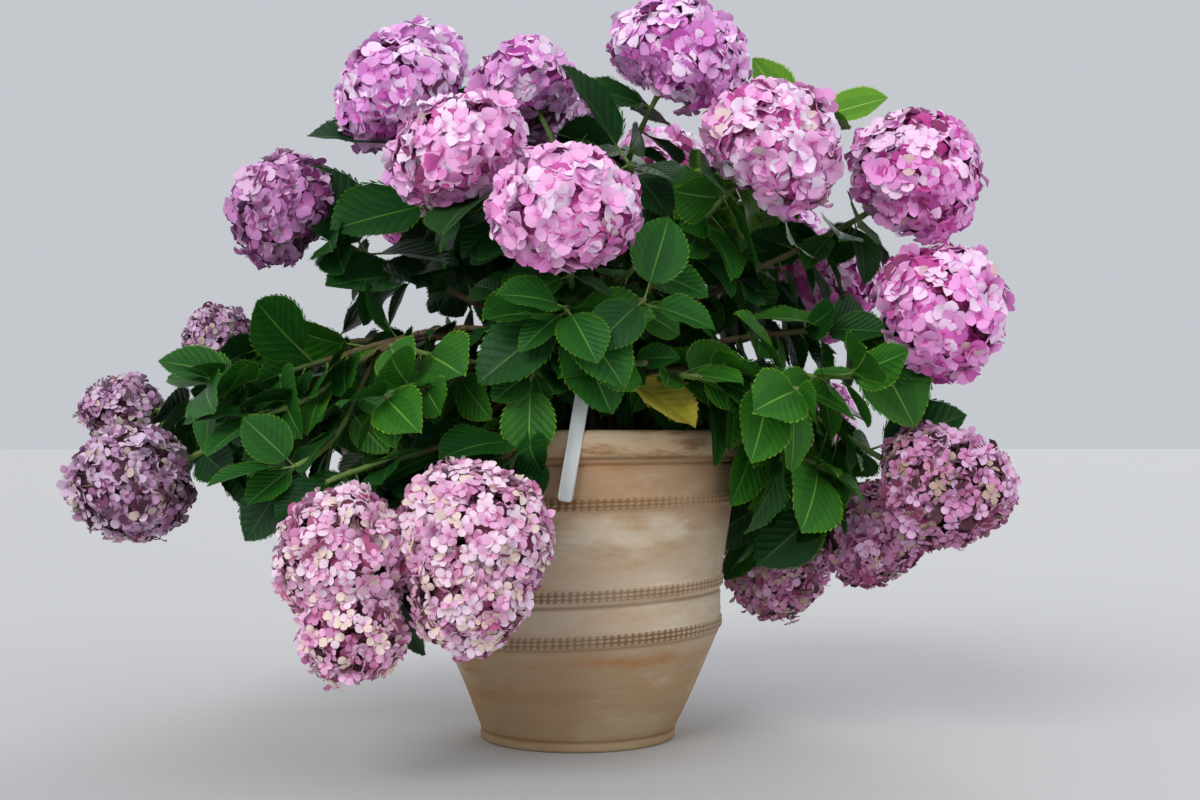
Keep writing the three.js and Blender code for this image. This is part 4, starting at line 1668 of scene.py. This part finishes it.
@dataclass
class Crown:
    """The shrub: canes, twigs, leaves and flower heads, joined by kind and by side of the crown."""

    pot: Pot
    palette: Palette
    leaf: LeafPlan = field(default_factory=LeafPlan)
    shape: BladeShape = field(default_factory=BladeShape)
    head: HeadShape = field(default_factory=HeadShape)
    old_head: HeadShape = field(default_factory=lambda: HeadShape(
        depth=5.0, fineness=0.69, slimness=0.84, tumble=0.5, shaded=0.5
    ))
    in_view: tuple[Place, ...] = ((-25, 150, 425), (-150, 150, 305))
    near: float = 0.35
    clear: float = 11.0
    front: float = 0.7
    wall_gap: float = 9.0
    rim_gap: float = 8.0
    head_gap: float = 1.04
    strangers: int = 4
    reach: float = 42.0
    high: float = 740.0
    high_share: float = 0.55
    tries: int = 12
    extra_rows: float = 26.0
    longest_blade: float = 112.0
    grown_together: float = 0.75

    def __post_init__(self) -> None:
        """Grows the limbs, and notes what the leaves must keep clear of."""
        self.plants = Rule(Filling(self.pot)).grow()
        shares = np.arange(6) / 5
        twigs = [(plant.order, twig) for plant in self.plants for twig in plant.twigs]
        spines = [twig.curve.at(twig.start + (twig.end - twig.start) * shares) for _, twig in twigs]
        self.spines = np.concatenate(spines)
        self.spine_mass = np.repeat([order for order, _ in twigs], 6)
        self.heads: list[tuple[Array, Array, Array]] = []
        for plant in self.plants:
            for shoot in plant.shoots:
                if shoot.width:
                    middle, axes = self.head.frame_of(shoot)
                    half = np.array([shoot.width / 2, shoot.width / 2, shoot.tall * 0.52])
                    self.heads.append((middle, axes, half))
        self.taken = np.zeros((0, 3))
        self.leaves: dict[Side, list[Leaf]] = {side: [] for side in Side}
        self.cloud = self._cad_points()

    def _cad_points(self) -> dict[str, kdtree.KDTree]:
        """The corners of each mass's CAD node, and of all masses and canes, ready to be searched.

        Returns:
            Search trees by mass, and one of everything under "all".
        """
        found, everything = {}, []
        for plant in self.plants:
            for kind in ("mass", "cane"):
                everything.append(corners_of(f"{kind}_{plant.mass}"))
                if kind == "mass":
                    found[plant.mass] = self._tree(everything[-1])
        found["all"] = self._tree(np.concatenate(everything))
        return found

    @staticmethod
    def _tree(places: Array) -> kdtree.KDTree:
        """A search tree over places.

        Args:
            places: points of shape (points, 3).

        Returns:
            The tree.
        """
        tree = kdtree.KDTree(len(places))
        for number, place in enumerate(places):
            tree.insert(place, number)
        tree.balance()
        return tree

    def _samples(self, root: Array, way: Array, face: Array, size: float) -> Array:
        """Nine points over a leaf's blade, by which it keeps its distance from others.

        Args:
            root: the leaf's place on its twig.
            way: the way from root to tip.
            face: the way that the blade faces.
            size: the leaf's length.

        Returns:
            Points of shape (9, 3).
        """
        side = unit(np.cross(face, way))
        top = unit(np.cross(way, side))
        grids = np.meshgrid([0.42, 0.68, 0.92], [-0.2, 0.0, 0.2])
        along, across = (grid.ravel()[:, None] * size for grid in grids)
        flat = root + way * along + side * across * (1.25 - along / size)
        return flat + top * (0.03 * size - 0.26 * along**2 / size)

    def _has_room(self, samples: Array, order: int) -> bool:
        """Whether a leaf is clear of leaves, heads, pot and view, in its own mass's space and in reach.

        Args:
            samples: its nine points.
            order: its mass's number.

        Returns:
            Whether all of that is so.
        """
        if len(self.taken) and (((samples[:, None] - self.taken) ** 2).sum(-1) < self.clear**2).any():
            return False
        x, y, z = samples.T
        for left, right, height in self.in_view:
            before = y < -self.front * self.pot.rim_radius
            if (before & (x > left) & (x < right) & (z < height)).any():
                return False
        middle = self.pot.lean * z / self.pot.height
        low = z < self.pot.height + self.rim_gap
        if ((np.hypot(x - middle, y) < self.pot.rim_radius + self.wall_gap) & low).any():
            return False
        for centre, axes, half in self.heads:
            if (np.linalg.norm((samples - centre) @ axes.T / half, axis=1) < self.head_gap).any():
                return False
        nearest = ((samples[:, None] - self.spines) ** 2).sum(-1).argmin(1)
        if (self.spine_mass[nearest] != order).sum() > self.strangers:
            return False
        tip = samples[7]
        reach = self.reach if tip[2] < self.high else self.reach * self.high_share
        return self.cloud["all"].find(tip)[2] < reach

    def _take(self, side: Side, leaf: Leaf) -> None:
        """Keeps a leaf on its side of the crown, and its room."""
        self.leaves[side].append(leaf)
        self.taken = np.concatenate([self.taken, self._samples(leaf.root, leaf.way, leaf.face, leaf.size)])

    def _tone(self, plant: Plant, root: Array, rng: Draws) -> Green:
        """A leaf's green: its mass's own, a step darker deep inside the crown as painted shade, and now and
        then a step off.

        Args:
            plant: its mass.
            root: the leaf's place on its twig.
            rng: draws the step.

        Returns:
            The green.
        """
        order = [Green.DEEP, Green.DARK, Green.MIDDLE, Green.FRESH, Green.BRIGHT]
        # Leaves deep inside the crown are a step darker: painted shade.
        inside = np.linalg.norm(root[:2]) < 150 and root[2] < 600
        step = order.index(plant.green) - int(inside) + int(rng.choice([-1, 0, 0, 1], p=[0.2, 0.3, 0.3, 0.2]))
        return order[int(np.clip(step, 0, 4 if plant.green is Green.BRIGHT else 3))]

    def place_source_leaves(self) -> None:
        """Finds each of the source's leaves: of its spreads, the one whose corners are in the CAD mass."""
        found = 0
        for plant in self.plants:
            rng = np.random.default_rng(500 + plant.order)
            tree = self.cloud[plant.mass]
            for which, twig in enumerate(plant.twigs):
                shoot = plant.shoots[which]
                back = shoot.tall * self.leaf.skirt + self.leaf.below if shoot.tall else 0.0
                row = 0
                while back < 0.94 * (twig.end - twig.start) * twig.curve.length:
                    share = twig.end - back / twig.curve.length
                    root, grow = twig.curve.at(share), twig.curve.way(share)
                    seed = ((plant.order * 8 + which) * 16 + row) * 8
                    turn = (row % 2) * math.pi / 2 - which * 0.7 + 0.5 * (chance(seed) - 0.5)
                    size = self.leaf.length * (0.85 + 0.35 * chance(seed + 1))
                    face = self.leaf.face(root)
                    for more, half in ((0.0, 2), (math.pi, 3)):
                        ways = self.leaf.ways(grow, turn + more, seed + half)
                        scores = []
                        for way, (_, _, scale) in zip(ways, self.leaf.spread):
                            corners = self.leaf.outline(root, way, face, size * scale)
                            scores.append(sum(tree.find(corner)[2] < self.near for corner in corners))
                        best = int(np.argmax(scores))
                        if scores[best] >= 2:
                            own = size * self.leaf.spread[best][2]
                            green = self._tone(plant, root, rng)
                            stalk = rng.uniform(0.13, 0.2)
                            self._take(plant.side, Leaf(root, ways[best], face, own, green, stalk, 0.85))
                            found += 1
                    back += self.leaf.step
                    row += 1
        log.info("%d leaves stand where the source's do", found)

    def place_accents(self) -> None:
        """Adds the leaves that stand out, each from the nearest place on a limb."""
        limbs = [limb for plant in self.plants for limb in (*plant.twigs, plant.cane)]
        marks = np.concatenate([limb.curve.at(np.linspace(limb.start, limb.end, 60)) for limb in limbs])
        for accent in ACCENTS:
            root = marks[np.linalg.norm(marks - accent.near, axis=1).argmin()]
            way = accent.tip - root
            size = float(np.linalg.norm(way))
            stalk = max(accent.stalk, 1 - self.longest_blade / size)
            face = unit(np.array(accent.face))
            self._take(accent.side, Leaf(root, unit(way), face, size, accent.green, stalk, 0.3))
            away = np.linalg.norm(root - accent.near)
            log.info("a leaf of %.0f mm that stands out, %.0f mm from its place", size, away)

    def place_finer_leaves(self) -> None:
        """Adds smaller leaves between the source's rows and on the canes, where there is room."""
        added = 0
        for plant in self.plants:
            rng = np.random.default_rng(900 + plant.order)
            limbs = [*plant.twigs, Limb(plant.cane.curve, 0.16, plant.cane.end)]
            for which, limb in enumerate(limbs):
                on_cane = which == len(plant.twigs)
                shoot = plant.shoots[min(which, len(plant.shoots) - 1)]
                skip = 0.0 if on_cane or not shoot.tall else shoot.tall * self.leaf.skirt + 9
                length = (limb.end - limb.start) * limb.curve.length
                for back in np.arange(skip + 12, length, self.extra_rows * (0.8 if on_cane else 1.0)):
                    share = limb.end - back / limb.curve.length
                    root, grow = limb.curve.at(share), limb.curve.way(share)
                    turn = rng.uniform(0, TURN)
                    for more in (0.0, 2.1, 4.2) if on_cane else (0.0, math.pi):
                        size = self.leaf.length * rng.uniform(0.7, 1.0)
                        face = unit(self.leaf.face(root) + rng.normal(0, 0.35, 3))
                        for _ in range(self.tries):
                            swing, lift = turn + more + rng.normal(0, 0.6), rng.uniform(-0.1, 0.5)
                            way = self.leaf.laid(grow, swing, lift, rng.uniform(-0.4, 0.15))
                            if self._has_room(self._samples(root, way, face, size), plant.order):
                                green, stalk = self._tone(plant, root, rng), rng.uniform(0.14, 0.24)
                                self._take(plant.side, Leaf(root, way, face, size, green, stalk, 0.75))
                                added += 1
                                break
                            size *= 0.94
        log.info("%d finer leaves fill in", added)

    def _flowering(self, plant: Plant) -> list[Shoot]:
        """A mass's shoots that carry heads, and one more in the waist of two that grow together.

        Args:
            plant: the mass.

        Returns:
            The shoots.
        """
        heads = [shoot for shoot in plant.shoots if shoot.width]
        names, waists = ("azimuth", "reach", "height"), []
        for one, other in zip(heads, heads[1:]):
            width = min(one.width, other.width)
            if np.linalg.norm(one.tip()[0] - other.tip()[0]) < self.grown_together * width:
                middle = (mix(getattr(one, name), getattr(other, name), 0.5) for name in names)
                waists.append(Shoot(*middle, width * 0.97, min(one.tall, other.tall)))
        return heads + waists

    def _relief(self, rings: Array, sides: int, seed: int, depth: float) -> Array:
        """Bark's ridges along a limb: sines around it that wander with length, as radius shares.

        Args:
            rings: each ring's distance along the limb.
            sides: points in a ring.
            seed: picks the sines.
            depth: how deep they go, as a share of the radius.

        Returns:
            Shares of the radius, of shape (rings, sides).
        """
        rng = np.random.default_rng(seed)
        angle = np.arange(sides)[None] * TURN / sides
        total = 1.0
        for turns in (2, 3, 5):
            high = depth * rng.uniform(0.5, 1)
            wander = rings[:, None] * rng.uniform(0.02, 0.09)
            total = total + high * np.sin(turns * angle + wander + rng.uniform(0, 6))
        return total + depth * 0.6 * rng.uniform(-1, 1, (len(rings), sides))

    def dress_canes(self) -> None:
        """Builds the woody canes, flared at the foot, with swollen joints and ridged bark, as one piece."""
        piece = Piece("woody_canes")
        sides = 12
        wood = Earthy("cane_bark", (128, 104, 80), (74, 58, 42), 60.0, 0.22, 0.0016, 0.85)
        for plant in self.plants:
            curve = plant.cane.curve
            length = plant.cane.end * curve.length
            count = max(20, int(length / 3.5))
            shares = np.linspace(0, plant.cane.end, count)
            at = shares * curve.length
            radius = mix(5.2, 3.9, at / length) * (1 + 0.3 * np.exp(-at / 7))
            joints = np.exp(-(((at + plant.order * 7) % 46 - 23) / 4.0) ** 2)
            relief = self._relief(at, sides, 40 + plant.order, 0.07)
            path = curve.at(shares)
            wide = (radius * (1 + 0.16 * joints))[:, None]
            piece.add(tube(path, wide * relief, curve.normal(), sides), turned_faces(count, sides))
        nodes = [f"cane_{plant.mass}" for plant in self.plants]
        settle(piece.build([wood.material()]), nodes)

    def _add_twigs(self, piece: Piece, plant: Plant) -> None:
        """Adds a mass's leader and shoots: browned near the cane, green at the tip, swollen at nodes.

        Args:
            piece: the piece of twigs.
            plant: the mass.
        """
        sides = 8
        ages = (Stem.WOOD, Stem.BROWNED, Stem.GREENED, Stem.STALK)
        kinds = np.array([self.palette.number(kind) for kind in ages])
        for which, limb in enumerate(plant.twigs):
            curve = limb.curve
            start = max(limb.start - 6 / curve.length, 0) if which == 0 else 0
            length = (limb.end - start) * curve.length
            count = max(16, int(length / 5))
            shares = np.linspace(start, limb.end, count)
            at = (shares - start) * curve.length
            radius = mix(4.1, 3.1, at / length)
            off = (length - at) % (self.leaf.step / 2) - self.leaf.step / 4
            node = 1 + 0.22 * np.exp(-((off / 3.0) ** 2))
            relief = self._relief(at, sides, 90 + plant.order * 4 + which, 0.04)
            wide = (radius * node)[:, None]
            points = tube(curve.at(shares), wide * relief, curve.normal(), sides)
            quads = grid_faces(count, sides, closed=True)
            ring = np.repeat(np.arange(count - 1) / (count - 1), sides)
            age = np.clip((ring * 4.2 + (0.4 if which else -0.2)).astype(int), 0, 3)
            piece.add(points, [(quads, kinds[age]), (end_faces(count, sides), kinds[0])])

    def _add_leaf_stalks(self, piece: Piece, bed: dict[str, Array]) -> None:
        """Adds each leaf's stalk: three-sided, from inside its twig to a little way under its midrib.

        Args:
            piece: the piece of twigs.
            bed: the leaves' own arrays, as for BladeShape.places.
        """
        count = len(bed["size"])
        marks = np.array([-0.02, 0.5, 1.0, 2.1])
        along = marks[None] * bed["stalk"][:, None]
        size = bed["size"][:, None]
        lift = -bed["droop"][:, None] * along**2 - 0.012 * (marks > 0.4)
        path = bed["root"][:, None] + (size * along)[..., None] * bed["way"][:, None]
        path = path + (size * lift)[..., None] * bed["top"][:, None]
        radius = np.array([2.1, 1.5, 1.4, 0.7])[None] * (bed["size"] / 110)[:, None]
        points = prongs(path, radius, bed["side"], bed["top"], math.pi / 2)
        faces = repeated(grid_faces(4, 3, closed=True), 12, count)
        piece.add(points, [(faces, self.palette.number(Stem.STALK))])

    def dress(self) -> None:
        """Builds the canes, and then each side's twigs, leaves and blossoms."""
        self.dress_canes()
        self.place_source_leaves()
        self.place_accents()
        self.place_finer_leaves()
        for number, side in enumerate(Side):
            plants = [plant for plant in self.plants if plant.side is side]
            nodes = [f"mass_{plant.mass}" for plant in plants]
            rng = np.random.default_rng(70 + number)
            kinds = ("twigs", "leaves", "blossoms")
            twigs, leaves, blossoms = (Piece(f"{kind}_{side.value}") for kind in kinds)
            for plant in plants:
                self._add_twigs(twigs, plant)
                for shoot in self._flowering(plant):
                    middle = shoot.tip()[0]
                    others = [head for head in self.heads if np.linalg.norm(head[0] - middle) > 1]
                    shape = self.old_head if plant.tint in OLD_TINTS else self.head
                    shape.add_head(blossoms, twigs, plant, shoot, self.palette, others, rng)
            bed = self.shape.add_to(leaves, self.leaves[side], self.palette, rng)
            self._add_leaf_stalks(twigs, bed)
            for piece in (twigs, leaves, blossoms):
                settle(piece.build(self.palette.materials), nodes)


# The studio.


@dataclass
class Studio:
    """A plain pale floor, soft lamps and the camera at the photograph's place."""

    camera_place: Place = (0.028, -2.084, 0.381)
    pitch: float = 91.0
    lens: float = 50.0
    floor_reach: float = 30000.0

    def floor(self) -> None:
        """Lays a wide, pale, matt floor."""
        piece = Piece("studio_floor")
        corners = np.array([[-1, -1, 0], [1, -1, 0], [1, 1, 0], [-1, 1, 0]]) * self.floor_reach
        piece.add(corners, [(np.array([[0, 1, 2, 3]]), 0)])
        values = {"Base Color": rgb(198, 198, 198), "Roughness": 0.9}
        material, _, _ = new_material("pale_floor", values)
        floor = piece.build([material])

    def sun(
        self, name: str, place: Place, strength: float, spread: float,
        tone: Place,
    ) -> None:
        """Sets one wide, soft lamp far away, which looks from its place at the plant's middle.

        Args:
            name: the lamp's name.
            place: a place on the side that the light comes from.
            strength: its light on a surface that faces it.
            spread: its width as an angle in degrees.
            tone: its colour.
        """
        lamp = bpy.data.lights.new(name, "SUN")
        lamp.energy, lamp.angle, lamp.color = strength, math.radians(spread), tone
        holder = bpy.data.objects.new(name, lamp)
        holder.location = place
        look = Vector((0, 0, 0.45)) - Vector(place)
        holder.rotation_euler = look.to_track_quat("-Z", "Y").to_euler()
        bpy.context.scene.collection.objects.link(holder)

    def camera(self) -> None:
        """Sets up the camera."""
        camera = bpy.data.cameras.new("photo_camera")
        camera.lens, camera.sensor_width, camera.clip_end = self.lens, 36.0, 200.0
        holder = bpy.data.objects.new("photo_camera", camera)
        holder.location = self.camera_place
        holder.rotation_euler = (math.radians(self.pitch), 0, 0)
        bpy.context.scene.collection.objects.link(holder)
        bpy.context.scene.camera = holder

    def set_up(self) -> None:
        """Floor, lamps, sky and camera."""
        self.floor()
        self.sun("key", (-1.4, -2.4, 2.4), 1.5, 35, (1.0, 0.98, 0.95))
        self.sun("fill", (2.4, -2.0, 1.2), 0.5, 60, (0.95, 0.97, 1.0))
        self.sun("back", (1.0, 2.4, 2.2), 1.0, 45, (0.97, 0.98, 1.0))
        world = bpy.data.worlds.new("studio")
        bpy.context.scene.world = world
        world.use_nodes = True
        background = world.node_tree.nodes["Background"]
        background.inputs[0].default_value = (0.9, 0.94, 1.0, 1)
        background.inputs[1].default_value = 0.62
        bpy.context.scene.view_settings.view_transform = "Standard"
        self.camera()


def main() -> None:
    """Builds the studio, the pot and the shrub in order."""
    logging.basicConfig(level=logging.INFO, format="%(message)s")
    Studio().set_up()
    pot = Pot()
    pot.dress()
    Filling(pot).dress()
    Label().dress()
    Crown(pot, Palette()).dress()


if __name__ == "__main__":
    main()
